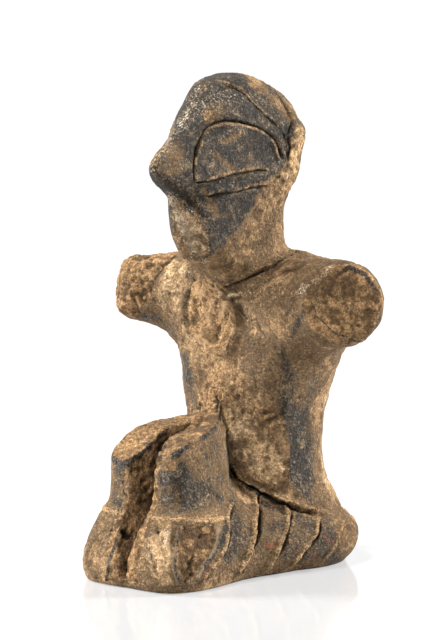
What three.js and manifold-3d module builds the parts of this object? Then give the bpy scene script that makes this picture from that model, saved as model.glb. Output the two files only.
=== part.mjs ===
// Seated figurine of fired clay, one solid. Millimetres, +Z up, facing -Y, its left on +X, base on z = 0.
// The form is a distance field of lofted ovals and rounded limbs; it is skinned, then cut and scored.
import * as THREE from "three";
import Module from "manifold-3d";
import { mergeVertices } from "three/addons/utils/BufferGeometryUtils.js";

// Middle of the figurine's box in plan, measured from the axis of the torso; the part is moved back by it.
const BOX_MIDDLE = { x: 1.53, y: -17.09 };

// Torso: height, half width, half depth, middle of the depth.
const TORSO = [
  [0, 28, 21, 6],
  [8, 29, 22, 5.6],
  [14, 28.2, 22, 5],
  [20, 25.4, 20.6, 4.4],
  [27, 22.8, 18.8, 3.2],
  [35, 21.6, 17.7, 2.4],
  [46, 22.4, 18.2, 2.4],
  [56, 24.6, 19, 3.4],
  [66, 28, 19.5, 5],
  [74, 31.5, 19, 5.6],
  [82, 31.5, 16.9, 4.9],
  [90, 23, 14.2, 3],
  [98, 14, 12, 0],
];
const TORSO_SQUARENESS = 2.3;
const TORSO_TOP = 95;

// Stumps of the two arms: end points and radii, and how softly they leave the torso.
const LEFT_ARM = { from: [18, 3, 84.5], to: [39.5, -5, 84.6], radii: [13.2, 13.4] };
const RIGHT_ARM = { from: [-18, 3, 84], to: [-39, -8, 84], radii: [12.5, 10.5] };
const ARM_FILLET = 12;
// The clean break of the left arm: a point on it and the way it faces.
const LEFT_BREAK = { at: [43.3, -10.6, 84], facing: [0.7, -0.69, 0.16] };
const RIGHT_BREAK = { at: [-43.5, -14, 84], facing: [-0.72, -0.66, 0.18] };

// Head: height, half width, middle, front of the ridge, depth behind the middle, roundness in plan.
const HEAD = [
  [84, 11.5, -1, -12, 11.5, 2],
  [88, 11.3, -2, -14.5, 11.5, 2],
  [91, 11.3, -2, -18, 11.5, 2],
  [94, 11.5, -2.2, -23.5, 11.2, 1.95],
  [97, 11.8, -2.5, -28.8, 11, 1.85],
  [101, 12.2, -3, -33, 10.5, 1.75],
  [105, 12.5, -3, -35.6, 10.3, 1.65],
  [110, 12.8, -3, -37.4, 10.6, 1.55],
  [115, 13.4, -2.8, -38, 11.2, 1.45],
  [118.5, 14.2, -2.4, -38.8, 11.5, 1.35],
  [121, 15, -2.2, -42, 12, 1.25],
  [124, 16, -2, -45.8, 12.8, 1.15],
  [127, 17, -1.8, -46.8, 13.6, 1.12],
  [130, 17.7, -1.5, -44.2, 14.2, 1.15],
  [134, 18.2, -1.3, -38.4, 14.6, 1.3],
  [138, 17.6, -1.6, -34.2, 15, 1.5],
  [141, 16, -2.2, -31.8, 15.4, 1.7],
  [144, 14.2, -3, -29, 14.8, 1.9],
  [147, 12.8, -4.2, -26, 12.2, 2.05],
  [149.5, 11, -6, -23.7, 9.8, 2.1],
  [151.4, 8.8, -8, -21.6, 9, 2.1],
  [153, 6.3, -9.5, -17.7, 7.5, 2.1],
  [154.2, 3, -10, -13.5, 4, 2],
];
const HEAD_TOP = 153.9;
const HEAD_FOOT = 82;
// How round the ridge of the nose and brow is, by height.
const RIDGE_RADIUS = [
  [84, 3],
  [118, 2.5],
  [124, 3.6],
  [128, 3.6],
  [134, 3],
  [140, 3],
];
// The underside of the nose runs down into the cheeks by this much for each millimetre outwards.
const NOSE_DROOP = 0.45;
const NOSE_HALF_WIDTH = 9;
const EAR_LUG = { from: [14.6, 1.8, 135.5], to: [12.6, 1.5, 121.5], radii: [4.4, 2.6] };
const NECK = { from: [0, 0, 84], to: [0, -2, 104], radii: [12.5, 10.5] };

// Plan of the folded legs and hips at their widest, right half, from the toes round to the back.
const BASE_OUTLINE = [
  [0, -61],
  [8, -61.2],
  [14.5, -60.4],
  [19, -56.8],
  [21, -50],
  [21, -42],
  [21.5, -33],
  [24, -23],
  [28, -12],
  [31.5, -2],
  [33, 7],
  [31.5, 15],
  [26, 21],
  [17, 24],
  [8, 25],
  [0, 25],
];
// How far the side lies inside that plan, by height: at the feet, at the thighs and at the hips.
const FOOT_INSET = [
  [0, 2],
  [2, 0.9],
  [5, 0.1],
  [8, 0.6],
  [11, 1.7],
  [14, 3.1],
  [17, 4.6],
  [20, 6.5],
  [23, 11],
  [26, 17],
  [29, 24],
];
const THIGH_INSET = [
  [0, 2.6],
  [2, 1.3],
  [5, 0.2],
  [8, 0],
  [11, 0.3],
  [14, 1.2],
  [17, 3],
  [20, 6.5],
  [23, 11],
  [26, 17],
  [29, 24],
];
const HIP_INSET = [
  [0, 6],
  [2, 3.2],
  [5, 1],
  [8, 0.1],
  [10, 0],
  [12, 0.5],
  [14, 1.8],
  [16, 4.2],
  [18, 8],
  [20, 13],
  [23, 21],
];
// Plan of one raised leg, from the shin back to the belly, and its swell towards the ground.
const LEG_OUTLINE = [
  [0, -51.5],
  [6, -51.6],
  [11.5, -50.4],
  [14.8, -46.5],
  [15.8, -40.5],
  [14.8, -33],
  [11.4, -25.5],
  [7.4, -19.5],
  [5.4, -16.5],
  [4.8, -12],
  [4.5, -7],
  [0, -4],
];
const LEG_INSET = [
  [0, -3.5],
  [8, -3.5],
  [14, -2.5],
  [20, -0.6],
  [26, 0],
  [36, 0.2],
  [46, 1.5],
  [52, 3],
];
const RIGHT_LEG_SCALE = { x: 0.92, y: 0.98 };
const LEG_FILLET = 9;
const BODY_FILLET = 1.5;
// Broken tops of the legs, from the shin back to the belly: y and height.
const LEFT_LEG_TOP = [
  [-70, 22],
  [-56, 34],
  [-51, 40],
  [-47, 44],
  [-41, 46],
  [-34, 47.5],
  [-24, 49.5],
  [-16, 51.5],
];
const RIGHT_LEG_TOP = [
  [-70, 16],
  [-57, 31],
  [-52, 37.5],
  [-47, 39.8],
  [-43, 42.2],
  [-38, 44.8],
  [-33, 46.4],
  [-24, 48],
  [-15, 50],
];
// Gap between the legs: y and half width above the feet; it narrows by SLOT_CLOSING down to SLOT_FLOOR.
const SLOT = [
  [-70, 4.6],
  [-60, 4.4],
  [-52, 4],
  [-47, 3.5],
  [-42, 2.8],
  [-37, 1.8],
  [-33, 0.4],
];
const SLOT_CLOSING = 0.55;
const SLOT_FLOOR = 3.2;
const SLOT_WIDE_FROM = 16;

// Scored lines, each through guide points near the surface on the left side: width, depth and points.
const PLEATS = [
  {
    width: 1.6,
    depth: 1,
    points: [
      [14.5, -25, 23],
      [18.5, -32, 19.5],
      [22, -38.5, 11.5],
      [22, -49.5, 2.5],
    ],
  },
  {
    width: 2.2,
    depth: 1.5,
    points: [
      [15, -14.5, 24],
      [18, -17, 20.5],
      [22.5, -25, 12.5],
      [22, -32.5, 2],
    ],
  },
  {
    width: 2,
    depth: 1.3,
    points: [
      [22.5, -8, 19.8],
      [24, -8.8, 17.5],
      [26.5, -15.5, 10.5],
      [24, -20.5, 2],
    ],
  },
  {
    width: 1.7,
    depth: 1.1,
    points: [
      [28, 0.5, 16],
      [30.5, -4.5, 11.5],
      [29, -8.7, 7],
      [26.5, -12, 2],
    ],
  },
  {
    width: 1.5,
    depth: 0.9,
    points: [
      [30.5, 9, 14.5],
      [33, 4.6, 10],
      [31.7, 1.5, 6],
      [28.5, -0.5, 2],
    ],
  },
];
const EYE_LINES = [
  {
    width: 1.3,
    depth: 0.9,
    points: [
      [6.5, -35, 122],
      [6.5, -35, 129],
      [6.2, -32, 134.5],
      [6.7, -29, 138.4],
      [9.5, -24.5, 140],
      [13, -18, 139],
      [16, -10.2, 135.4],
      [16.6, -4.5, 127.6],
    ],
  },
  {
    width: 1.3,
    depth: 0.9,
    points: [
      [6.8, -34.5, 122],
      [8.7, -29.5, 122.2],
      [13.2, -16, 124.5],
      [15, -9.5, 124.3],
    ],
  },
  {
    width: 1.3,
    depth: 0.9,
    points: [
      [7, -30.5, 117.2],
      [9.6, -24, 117.9],
      [14.3, -8.5, 119.8],
    ],
  },
];
const CAP_LINES = [
  {
    width: 1.3,
    depth: 0.9,
    points: [
      [0.5, -21.5, 152],
      [7.7, -17.5, 150],
      [14, -11.2, 142],
      [17.2, -5, 134.8],
      [17.1, -2.7, 127.6],
    ],
  },
  {
    width: 1.6,
    depth: 1.1,
    points: [
      [6.5, -3.5, 151],
      [11.2, -2, 148.2],
      [16, -0.5, 140.7],
      [17.6, -3.6, 135.5],
    ],
  },
];
const NECK_LINES = [
  {
    width: 1.8,
    depth: 1.1,
    points: [
      [1, -15, 87.6],
      [7.2, -13.9, 89.7],
      [15.4, -8.8, 95],
      [17.3, 1.2, 98.5],
    ],
  },
];
const SHIN_BAND = {
  width: 1.3,
  depth: 0.8,
  points: [
    [6.4, -54, 21.5],
    [13, -52, 21.5],
    [17, -44, 21],
    [17.5, -33, 20.5],
  ],
};
// Line where the lap and the legs meet the torso.
const LAP_CREASE = {
  width: 2.6,
  depth: 1.6,
  points: [
    [4, -16.5, 46],
    [4, -16.3, 38],
    [5.1, -16, 32],
    [9, -14.8, 27],
    [18.5, -10.4, 22],
    [25, -4, 18.5],
    [29, 6, 16],
  ],
};
// The right side has the same lines, a little shallower, and one pleat less.
const RIGHT_SIDE_DEPTH = 0.8;
const RIGHT_SIDE_PLEATS = 4;
const SCORE_STEP = 5.4;

const COLOUR = 0x9a7b56;
const ROUGHNESS = 0.88;

const clamp = (t, low, high) => Math.min(Math.max(t, low), high);

function ease(from, to, x) {
  const t = clamp((x - from) / (to - from), 0, 1);
  return t * t * (3 - 2 * t);
}

// Union of two distances with a fillet of size k.
function join(a, b, k) {
  const h = Math.max(k - Math.abs(a - b), 0) / k;
  return Math.min(a, b) - h * h * k * 0.25;
}

// Intersection of two distances with its edge rounded by k.
function keep(a, b, k) {
  return -join(-a, -b, k);
}

// Smooth curve through [position, value] pairs, flat outside them.
function profile(keys) {
  const x = keys.map((key) => key[0]);
  const y = keys.map((key) => key[1]);
  const last = x.length - 1;
  const slope = x.map((_, i) => {
    if (i === 0) return (y[1] - y[0]) / (x[1] - x[0]);
    if (i === last) return (y[last] - y[last - 1]) / (x[last] - x[last - 1]);
    const before = x[i] - x[i - 1];
    const after = x[i + 1] - x[i];
    const rise = before * before * y[i + 1] + (after * after - before * before) * y[i];
    return (rise - after * after * y[i - 1]) / (before * after * (before + after));
  });
  return (at) => {
    const p = clamp(at, x[0], x[last]);
    let i = 0;
    while (i < last - 1 && x[i + 1] < p) i += 1;
    const h = x[i + 1] - x[i];
    const t = (p - x[i]) / h;
    const s = 1 - t;
    const start = (1 + 2 * t) * s * s * y[i] + t * s * s * h * slope[i];
    return start + t * t * (3 - 2 * t) * y[i + 1] - t * t * s * h * slope[i + 1];
  };
}

const column = (stations, index) => profile(stations.map((row) => [row[0], row[index]]));

// Distance in plan to the oval (x/a)^n + (y/b)^n = 1.
function oval(x, y, a, b, n) {
  const u = Math.max(Math.abs(x) / a, 1e-4);
  const w = Math.max(Math.abs(y) / b, 1e-4);
  const k = Math.pow(Math.pow(u, n) + Math.pow(w, n), 1 / n);
  const gx = Math.pow(u, n - 1) / a;
  const gy = Math.pow(w, n - 1) / b;
  return (k - 1) / (Math.hypot(gx, gy) * Math.pow(k, 1 - n));
}

// Distance to a tapering limb with round ends.
function limb(x, y, z, { from, to, radii }) {
  const axis = to.map((value, i) => value - from[i]);
  const size = axis[0] ** 2 + axis[1] ** 2 + axis[2] ** 2;
  const along = (x - from[0]) * axis[0] + (y - from[1]) * axis[1] + (z - from[2]) * axis[2];
  const t = clamp(along / size, 0, 1);
  const off = Math.hypot(x - from[0] - t * axis[0], y - from[1] - t * axis[1], z - from[2] - t * axis[2]);
  return off - radii[0] - (radii[1] - radii[0]) * t;
}

// Closed half outline through the given points, smoothed, with its ends on x = 0.
function smoothOutline(points, steps) {
  const end = points.length - 1;
  const first = [-points[1][0], points[1][1]];
  const last = [-points[end - 1][0], points[end - 1][1]];
  const all = [first, ...points, last];
  const out = [];
  for (let i = 1; i < all.length - 2; i += 1) {
    for (let k = 0; k < steps; k += 1) {
      const t = k / steps;
      out.push(
        [0, 1].map((axis) => {
          const [a, b, c, d] = [all[i - 1][axis], all[i][axis], all[i + 1][axis], all[i + 2][axis]];
          const square = (2 * a - 5 * b + 4 * c - d) * t * t;
          return 0.5 * (2 * b + (c - a) * t + square + (3 * b - a - 3 * c + d) * t ** 3);
        }),
      );
    }
  }
  out.push(points[end]);
  return out;
}

// Signed distance in plan to a half outline.
function planDistance(x, y, outline) {
  let best = Infinity;
  let inside = false;
  for (let i = 0; i < outline.length - 1; i += 1) {
    const [ax, ay] = outline[i];
    const dx = outline[i + 1][0] - ax;
    const dy = outline[i + 1][1] - ay;
    const t = clamp(((x - ax) * dx + (y - ay) * dy) / (dx * dx + dy * dy), 0, 1);
    best = Math.min(best, (x - ax - t * dx) ** 2 + (y - ay - t * dy) ** 2);
    if (ay > y !== ay + dy > y && x < ax + ((y - ay) / dy) * dx) inside = !inside;
  }
  return inside ? -Math.sqrt(best) : Math.sqrt(best);
}

const torsoWidth = column(TORSO, 1);
const torsoDepth = column(TORSO, 2);
const torsoMiddle = column(TORSO, 3);

function torso(x, y, z) {
  const side = oval(x, y - torsoMiddle(z), torsoWidth(z), torsoDepth(z), TORSO_SQUARENESS);
  return keep(side, z - TORSO_TOP, 8);
}

const arms = (x, y, z) => join(limb(x, y, z, LEFT_ARM), limb(x, y, z, RIGHT_ARM), 1);

const headWidth = column(HEAD, 1);
const headMiddle = column(HEAD, 2);
const headFront = column(HEAD, 3);
const headBack = column(HEAD, 4);
const headRoundness = column(HEAD, 5);
const ridgeRadius = profile(RIDGE_RADIUS);

function head(x, y, z) {
  const out = Math.abs(x);
  const underNose = ease(107, 117, z) * (1 - ease(123, 131, z));
  const level = z + NOSE_DROOP * Math.min(out, NOSE_HALF_WIDTH) * underNose;
  const width = headWidth(level);
  const middle = headMiddle(level);
  const ridge = ridgeRadius(level);
  const ahead = y < middle;
  const n = ahead ? headRoundness(level) : 2;
  // The rounded ridge stands back from a sharp one, so the oval is drawn longer by that much.
  const roundness = headRoundness(level);
  const sharp = Math.pow(1 - Math.pow(Math.min(ridge / width, 0.45), roundness), 1 / roundness);
  const length = ahead ? (middle - headFront(level)) / sharp : headBack(level);
  let d = oval(Math.hypot(x, ridge), y - middle, width, length, n);
  d = keep(d, level - HEAD_TOP, 2);
  d = keep(d, HEAD_FOOT - level, 3);
  d = join(d, limb(out, y, z, EAR_LUG), 3);
  return join(d, limb(x, y, z, NECK), 5);
}

const baseOutline = smoothOutline(BASE_OUTLINE, 4);
const legOutline = smoothOutline(LEG_OUTLINE, 4);
const footInset = profile(FOOT_INSET);
const thighInset = profile(THIGH_INSET);
const hipInset = profile(HIP_INSET);
const legInset = profile(LEG_INSET);
const leftTop = profile(LEFT_LEG_TOP);
const rightTop = profile(RIGHT_LEG_TOP);

// The lap and hips, a low mound over the base plan.
function lap(x, y, z) {
  const toHip = ease(-22, 2, y);
  const toFoot = ease(-36, -46, y);
  const above = Math.max(z - 23, 0) * 1.5 * toHip + Math.max(z - 29, 0) * 6;
  const behind = thighInset(z) * (1 - toHip) + hipInset(z) * toHip;
  const inset = behind * (1 - toFoot) + footInset(z) * toFoot + above;
  return (planDistance(Math.abs(x), y, baseOutline) + inset) * 0.8;
}

// The raised legs, left a little too high for the break to be cut through them.
function legs(x, y, z) {
  const right = x < 0;
  const px = Math.abs(x) * (right ? RIGHT_LEG_SCALE.x : 1);
  const py = y * (right ? RIGHT_LEG_SCALE.y : 1);
  const top = right ? rightTop(y) : leftTop(y);
  return keep(planDistance(px, py, legOutline) + legInset(z), z - top - 2.5, 2.5);
}

const trunk = (x, y, z) => join(torso(x, y, z), arms(x, y, z), ARM_FILLET);
const upperBody = (x, y, z) => join(trunk(x, y, z), head(x, y, z), 4);
const lowerBody = (x, y, z) => join(legs(x, y, z), lap(x, y, z), LEG_FILLET);

// The whole figure, left a little too long below the base for a flat cut.
const figure = (x, y, z) => Math.max(join(upperBody(x, y, z), lowerBody(x, y, z), BODY_FILLET), -5 - z);

function slopeAt(field, { x, y, z }) {
  const e = 0.2;
  return new THREE.Vector3(
    field(x + e, y, z) - field(x - e, y, z),
    field(x, y + e, z) - field(x, y - e, z),
    field(x, y, z + e) - field(x, y, z - e),
  ).multiplyScalar(0.5 / e);
}

// Moves a point onto the surface of a field, no further than the reach; gives the outward normal there.
function settle(field, point, reach) {
  const start = point.clone();
  let slope = slopeAt(field, point);
  for (let i = 0; i < 4; i += 1) {
    point.addScaledVector(slope, -field(point.x, point.y, point.z) / Math.max(slope.lengthSq(), 0.3));
    const moved = point.clone().sub(start);
    if (moved.length() > reach) point.copy(start).addScaledVector(moved.normalize(), reach);
    slope = slopeAt(field, point);
  }
  return slope.normalize();
}

// Grid lines from one end to the other, with a spacing that depends on the place.
function gridLines(from, to, spacing) {
  const lines = [from];
  while (lines[lines.length - 1] < to) {
    const last = lines[lines.length - 1];
    lines.push(last + spacing(last));
  }
  return lines;
}

// Skins the field: a point in each grid cell that the surface crosses, a face over each crossed grid edge.
function skin(gx, gy, gz) {
  const [nx, ny, nz] = [gx.length, gy.length, gz.length];
  const at = (i, j, k) => (k * ny + j) * nx + i;
  const field = new Float64Array(nx * ny * nz);
  for (let k = 0; k < nz; k += 1) {
    for (let j = 0; j < ny; j += 1) {
      for (let i = 0; i < nx; i += 1) field[at(i, j, k)] = figure(gx[i], gy[j], gz[k]);
    }
  }
  const point = new Map();
  const positions = [];
  const corners = [0, 1, 2, 3, 4, 5, 6, 7].map((c) => [c & 1, (c >> 1) & 1, (c >> 2) & 1]);
  for (let k = 0; k < nz - 1; k += 1) {
    for (let j = 0; j < ny - 1; j += 1) {
      for (let i = 0; i < nx - 1; i += 1) {
        const values = corners.map(([a, b, c]) => field[at(i + a, j + b, k + c)]);
        if (values.every((value) => value < 0) || values.every((value) => value >= 0)) continue;
        const sum = new THREE.Vector3();
        let crossings = 0;
        for (let a = 0; a < 8; a += 1) {
          for (const bit of [1, 2, 4]) {
            const b = a | bit;
            if (b === a || values[a] < 0 === values[b] < 0) continue;
            const t = values[a] / (values[a] - values[b]);
            const place = corners[a].map((value, axis) => value + (corners[b][axis] - value) * t);
            sum.x += gx[i] + place[0] * (gx[i + 1] - gx[i]);
            sum.y += gy[j] + place[1] * (gy[j + 1] - gy[j]);
            sum.z += gz[k] + place[2] * (gz[k + 1] - gz[k]);
            crossings += 1;
          }
        }
        const vertex = sum.divideScalar(crossings);
        settle(figure, vertex, 0.9);
        point.set(at(i, j, k), positions.length / 3);
        positions.push(vertex.x, vertex.y, vertex.z);
      }
    }
  }
  const faces = [];
  const distance = (a, b) =>
    Math.hypot(...[0, 1, 2].map((axis) => positions[3 * a + axis] - positions[3 * b + axis]));
  const addFace = (quad, flip) => {
    const [a, b, c, d] = flip ? [...quad].reverse() : quad;
    if (distance(a, c) < distance(b, d)) faces.push(a, b, c, a, c, d);
    else faces.push(a, b, d, b, c, d);
  };
  for (let k = 1; k < nz - 1; k += 1) {
    for (let j = 1; j < ny - 1; j += 1) {
      for (let i = 1; i < nx - 1; i += 1) {
        const here = field[at(i, j, k)] < 0;
        const cell = (a, b, c) => point.get(at(i - a, j - b, k - c));
        if (here !== field[at(i + 1, j, k)] < 0) {
          addFace([cell(0, 1, 1), cell(0, 0, 1), cell(0, 0, 0), cell(0, 1, 0)], !here);
        }
        if (here !== field[at(i, j + 1, k)] < 0) {
          addFace([cell(1, 0, 1), cell(1, 0, 0), cell(0, 0, 0), cell(0, 0, 1)], !here);
        }
        if (here !== field[at(i, j, k + 1)] < 0) {
          addFace([cell(1, 1, 0), cell(0, 1, 0), cell(0, 0, 0), cell(1, 0, 0)], !here);
        }
      }
    }
  }
  const geometry = new THREE.BufferGeometry();
  geometry.setAttribute("position", new THREE.BufferAttribute(new Float32Array(positions), 3));
  geometry.setIndex(faces);
  return geometry;
}

// Closed geometry through rings of points, each ring with the same count, capped at both ends.
function loft(rings) {
  const n = rings[0].length;
  const positions = rings.flat().flatMap((p) => [p.x, p.y, p.z]);
  const faces = [];
  for (let r = 0; r < rings.length - 1; r += 1) {
    for (let i = 0; i < n; i += 1) {
      const a = r * n + i;
      const b = r * n + ((i + 1) % n);
      faces.push(a, b, b + n, a, b + n, a + n);
    }
  }
  const end = (rings.length - 1) * n;
  for (let i = 1; i < n - 1; i += 1) faces.push(0, i + 1, i, end, end + i, end + i + 1);
  const geometry = new THREE.BufferGeometry();
  geometry.setAttribute("position", new THREE.BufferAttribute(new Float32Array(positions), 3));
  geometry.setIndex(faces);
  return geometry;
}

const wasm = await Module();
wasm.setup();

// A closed geometry as a solid, turned right side out.
function solid(geometry) {
  const bare = new THREE.BufferGeometry();
  bare.setAttribute("position", geometry.getAttribute("position"));
  bare.setIndex(geometry.getIndex());
  const merged = mergeVertices(bare, 1e-4);
  const make = (faces) =>
    new wasm.Manifold(
      new wasm.Mesh({ numProp: 3, vertProperties: merged.attributes.position.array, triVerts: faces }),
    );
  const faces = new Uint32Array(merged.index.array);
  const made = make(faces);
  return made.volume() < 0 ? make(faces.reverse()) : made;
}

function geometryOf(manifold) {
  const mesh = manifold.getMesh();
  const geometry = new THREE.BufferGeometry();
  geometry.setAttribute("position", new THREE.BufferAttribute(mesh.vertProperties.slice(), 3));
  geometry.setIndex(new THREE.BufferAttribute(mesh.triVerts.slice(), 1));
  return geometry;
}

// A long wedge along a scored line: its edge lies below the surface, its two upper sides stand clear of it.
function scoreAlong(path, width, depth) {
  const last = path.length - 1;
  const rings = path.map(({ point, normal }, i) => {
    const ahead = path[Math.min(i + 1, last)].point.clone();
    const along = ahead.sub(path[Math.max(i - 1, 0)].point).normalize();
    const across = new THREE.Vector3().crossVectors(along, normal).normalize();
    const fade = i === 0 || i === last ? 0.3 : 1;
    const rise = 1.6;
    const half = (width / 2) * fade * ((depth * fade + rise) / (depth * fade));
    return [
      point.clone().addScaledVector(normal, rise).addScaledVector(across, -half),
      point.clone().addScaledVector(normal, -depth * fade),
      point.clone().addScaledVector(normal, rise).addScaledVector(across, half),
    ];
  });
  return solid(loft(rings));
}

// Evenly spaced points along a smooth curve through the guide points, each laid onto the surface.
function pathOn(points, side, lay) {
  const guide = new THREE.CatmullRomCurve3(
    points.map(([x, y, z]) => {
      const point = new THREE.Vector3(x * side, y, z);
      lay(point);
      return point;
    }),
    false,
    "centripetal",
  );
  const count = Math.max(Math.round(guide.getLength() / SCORE_STEP), 3);
  return guide.getSpacedPoints(count).map((point) => ({ normal: lay(point), point }));
}

const onFigure = (point) => settle(figure, point, 6);

// Lays a point where the lower body meets the upper, facing out of the corner between them.
function onCrease(point) {
  let upper;
  let lower;
  for (let i = 0; i < 8; i += 1) {
    upper = settle(upperBody, point, 3);
    lower = settle(lowerBody, point, 3);
  }
  return upper.add(lower).normalize();
}

function scores(lines, side, lay = onFigure) {
  const deep = side > 0 ? 1 : RIGHT_SIDE_DEPTH;
  return lines.map(({ points, width, depth }) => scoreAlong(pathOn(points, side, lay), width, depth * deep));
}

// A block whose one face passes through a point and looks back from the given direction.
function blockBeyond({ at, facing }, size) {
  const geometry = new THREE.BoxGeometry(size, size, size);
  geometry.translate(0, 0, size / 2);
  const outward = new THREE.Vector3(...facing).normalize();
  geometry.applyQuaternion(new THREE.Quaternion().setFromUnitVectors(new THREE.Vector3(0, 0, 1), outward));
  geometry.translate(...at);
  return solid(geometry);
}

// Everything above the broken top of one leg, in front of the belly.
function aboveLeg(keys, fromX, toX) {
  const top = profile(keys);
  const edge = [-70, -60, -55, -52, -49.5, -47, -44, -41, -37, -33, -28, -23, -19.5, -16.6];
  const outline = edge.map((y) => [y, top(y)]);
  outline.push([edge[edge.length - 1], 64], [edge[0], 64]);
  return solid(loft([fromX, toX].map((x) => outline.map(([y, z]) => new THREE.Vector3(x, y, z)))));
}

// The gap between the legs, narrower towards the ground.
function legSlot() {
  const levels = [
    [SLOT_FLOOR, SLOT_CLOSING],
    [SLOT_WIDE_FROM, 1],
    [64, 1],
  ];
  return solid(
    loft(
      levels.map(([z, share]) => {
        const left = SLOT.map(([y, half]) => new THREE.Vector3(half * share, y, z));
        const right = SLOT.map(([y, half]) => new THREE.Vector3(-half * share, y, z));
        return [...left, ...right.reverse()];
      }),
    ),
  );
}

// Finer cells at the legs and the face, coarser ones over the plain parts.
const spacingX = (x) => (Math.abs(x) < 13 ? 3.4 : 3.9);
const spacingY = (y) => (y < -18 ? 3.6 : 4.3);
const spacingZ = (z) => (z > 112 && z < 140 ? 3.1 : 4.1);
const cellsX = gridLines(-57.4, 56, spacingX);
const cellsY = gridLines(-69.2, 40, spacingY);
const cellsZ = gridLines(-9.1, 160, spacingZ);
let body = solid(skin(cellsX, cellsY, cellsZ));

const floor = new THREE.BoxGeometry(200, 200, 40);
floor.translate(0, 0, -20);
const cuts = [
  solid(floor),
  blockBeyond(LEFT_BREAK, 40),
  blockBeyond(RIGHT_BREAK, 40),
  aboveLeg(LEFT_LEG_TOP, 0, 30),
  aboveLeg(RIGHT_LEG_TOP, -30, 0),
  legSlot(),
];
for (const cut of cuts) body = body.subtract(cut);

const shared = [...EYE_LINES, ...CAP_LINES, ...NECK_LINES, SHIN_BAND];
for (const side of [1, -1]) {
  const pleats = side > 0 ? PLEATS : PLEATS.slice(0, RIGHT_SIDE_PLEATS);
  const lines = [...scores([...pleats, ...shared], side), ...scores([LAP_CREASE], side, onCrease)];
  for (const line of lines) body = body.subtract(line);
}

const shaped = geometryOf(body);
shaped.computeBoundingBox();
shaped.translate(-BOX_MIDDLE.x, -BOX_MIDDLE.y, 0);

const group = new THREE.Group();
const clay = new THREE.MeshStandardMaterial({ color: COLOUR, roughness: ROUGHNESS, metalness: 0 });
const mesh = new THREE.Mesh(shaped, clay);
mesh.name = "figurine";
group.add(mesh);
export default group;
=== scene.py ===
import math
from itertools import product

import bpy
import numpy as np
from mathutils import Matrix, Vector


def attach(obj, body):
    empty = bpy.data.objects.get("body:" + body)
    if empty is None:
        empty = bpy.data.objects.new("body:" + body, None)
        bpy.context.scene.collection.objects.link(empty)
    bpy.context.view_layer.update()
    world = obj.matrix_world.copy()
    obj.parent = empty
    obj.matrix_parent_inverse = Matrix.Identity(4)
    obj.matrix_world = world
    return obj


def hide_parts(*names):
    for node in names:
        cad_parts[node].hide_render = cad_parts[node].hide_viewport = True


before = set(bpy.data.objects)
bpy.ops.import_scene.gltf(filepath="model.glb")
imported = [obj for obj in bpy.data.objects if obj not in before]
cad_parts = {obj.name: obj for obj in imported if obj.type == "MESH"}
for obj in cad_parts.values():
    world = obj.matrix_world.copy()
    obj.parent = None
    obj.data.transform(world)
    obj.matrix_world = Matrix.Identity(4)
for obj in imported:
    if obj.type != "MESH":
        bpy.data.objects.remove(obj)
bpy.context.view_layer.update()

# The figurine's fine mesh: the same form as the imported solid, skinned closely, with its worn skin on top.
# Lengths are millimetres from the torso's axis until the mesh is made; MIDDLE moves them to the row's frame.
MM = 0.001
MIDDLE = np.array([1.53, -17.09, 0.0], np.float32)
LOW, HIGH, GRID_STEP = np.array([-56.0, -66.0, -1.3]), np.array([56.0, 31.0, 157.0]), 0.52
MOST_TRIANGLES, AT_ONCE = 196000, 400000

# Height, half width, half depth, middle
TORSO = [
    (0, 28, 21, 6), (8, 29, 22, 5.6), (14, 28.2, 22, 5), (20, 25.4, 20.6, 4.4), (27, 22.8, 18.8, 3.2),
    (35, 21.6, 17.7, 2.4), (46, 22.4, 18.2, 2.4), (56, 24.6, 19, 3.4), (66, 28, 19.5, 5),
    (74, 31.5, 19, 5.6), (82, 31.5, 16.9, 4.9), (90, 23, 14.2, 3), (98, 14, 12, 0),
]
# Two ends and their radii
LEFT_ARM = ((18, 3, 84.5), (39.5, -5, 84.6), 13.2, 13.4)
RIGHT_ARM = ((-18, 3, 84), (-39, -8, 84), 12.5, 10.5)
# A place on the break and the way it faces
LEFT_BREAK = ((43.3, -10.6, 84), (0.7, -0.69, 0.16))
RIGHT_BREAK = ((-43.5, -14, 84), (-0.72, -0.66, 0.18))
# Height, half width, middle, front, length behind the middle, roundness of the front
HEAD = [
    (84, 11.5, -1, -12, 11.5, 2), (88, 11.3, -2, -14.5, 11.5, 2), (91, 11.3, -2, -18, 11.5, 2),
    (94, 11.5, -2.2, -23.5, 11.2, 1.95), (97, 11.8, -2.5, -28.8, 11, 1.85), (101, 12.2, -3, -33, 10.5, 1.75),
    (105, 12.5, -3, -35.6, 10.3, 1.65), (110, 12.8, -3, -37.4, 10.6, 1.55), (115, 13.4, -2.8, -38, 11.2, 1.45),
    (118.5, 14.2, -2.4, -38.8, 11.5, 1.35), (121, 15, -2.2, -42, 12, 1.25), (124, 16, -2, -45.8, 12.8, 1.15),
    (127, 17, -1.8, -46.8, 13.6, 1.12), (130, 17.7, -1.5, -44.2, 14.2, 1.15), (134, 18.2, -1.3, -38.4, 14.6, 1.3),
    (138, 17.6, -1.6, -34.2, 15, 1.5), (141, 16, -2.2, -31.8, 15.4, 1.7), (144, 14.2, -3, -29, 14.8, 1.9),
    (147, 12.8, -4.2, -26, 12.2, 2.05), (149.5, 11, -6, -23.7, 9.8, 2.1), (151.4, 8.8, -8, -21.6, 9, 2.1),
    (153, 6.3, -9.5, -17.7, 7.5, 2.1), (154.2, 3, -10, -13.5, 4, 2),
]
# Height and the rounding of the ridge down the face
RIDGE = [(84, 3), (118, 2.5), (124, 3.6), (128, 3.6), (134, 3), (140, 3)]
EAR_LUG = ((14.6, 1.8, 135.5), (12.6, 1.5, 121.5), 4.4, 2.6)
NECK = ((0, 0, 84), (0, -2, 104), 12.5, 10.5)
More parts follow.
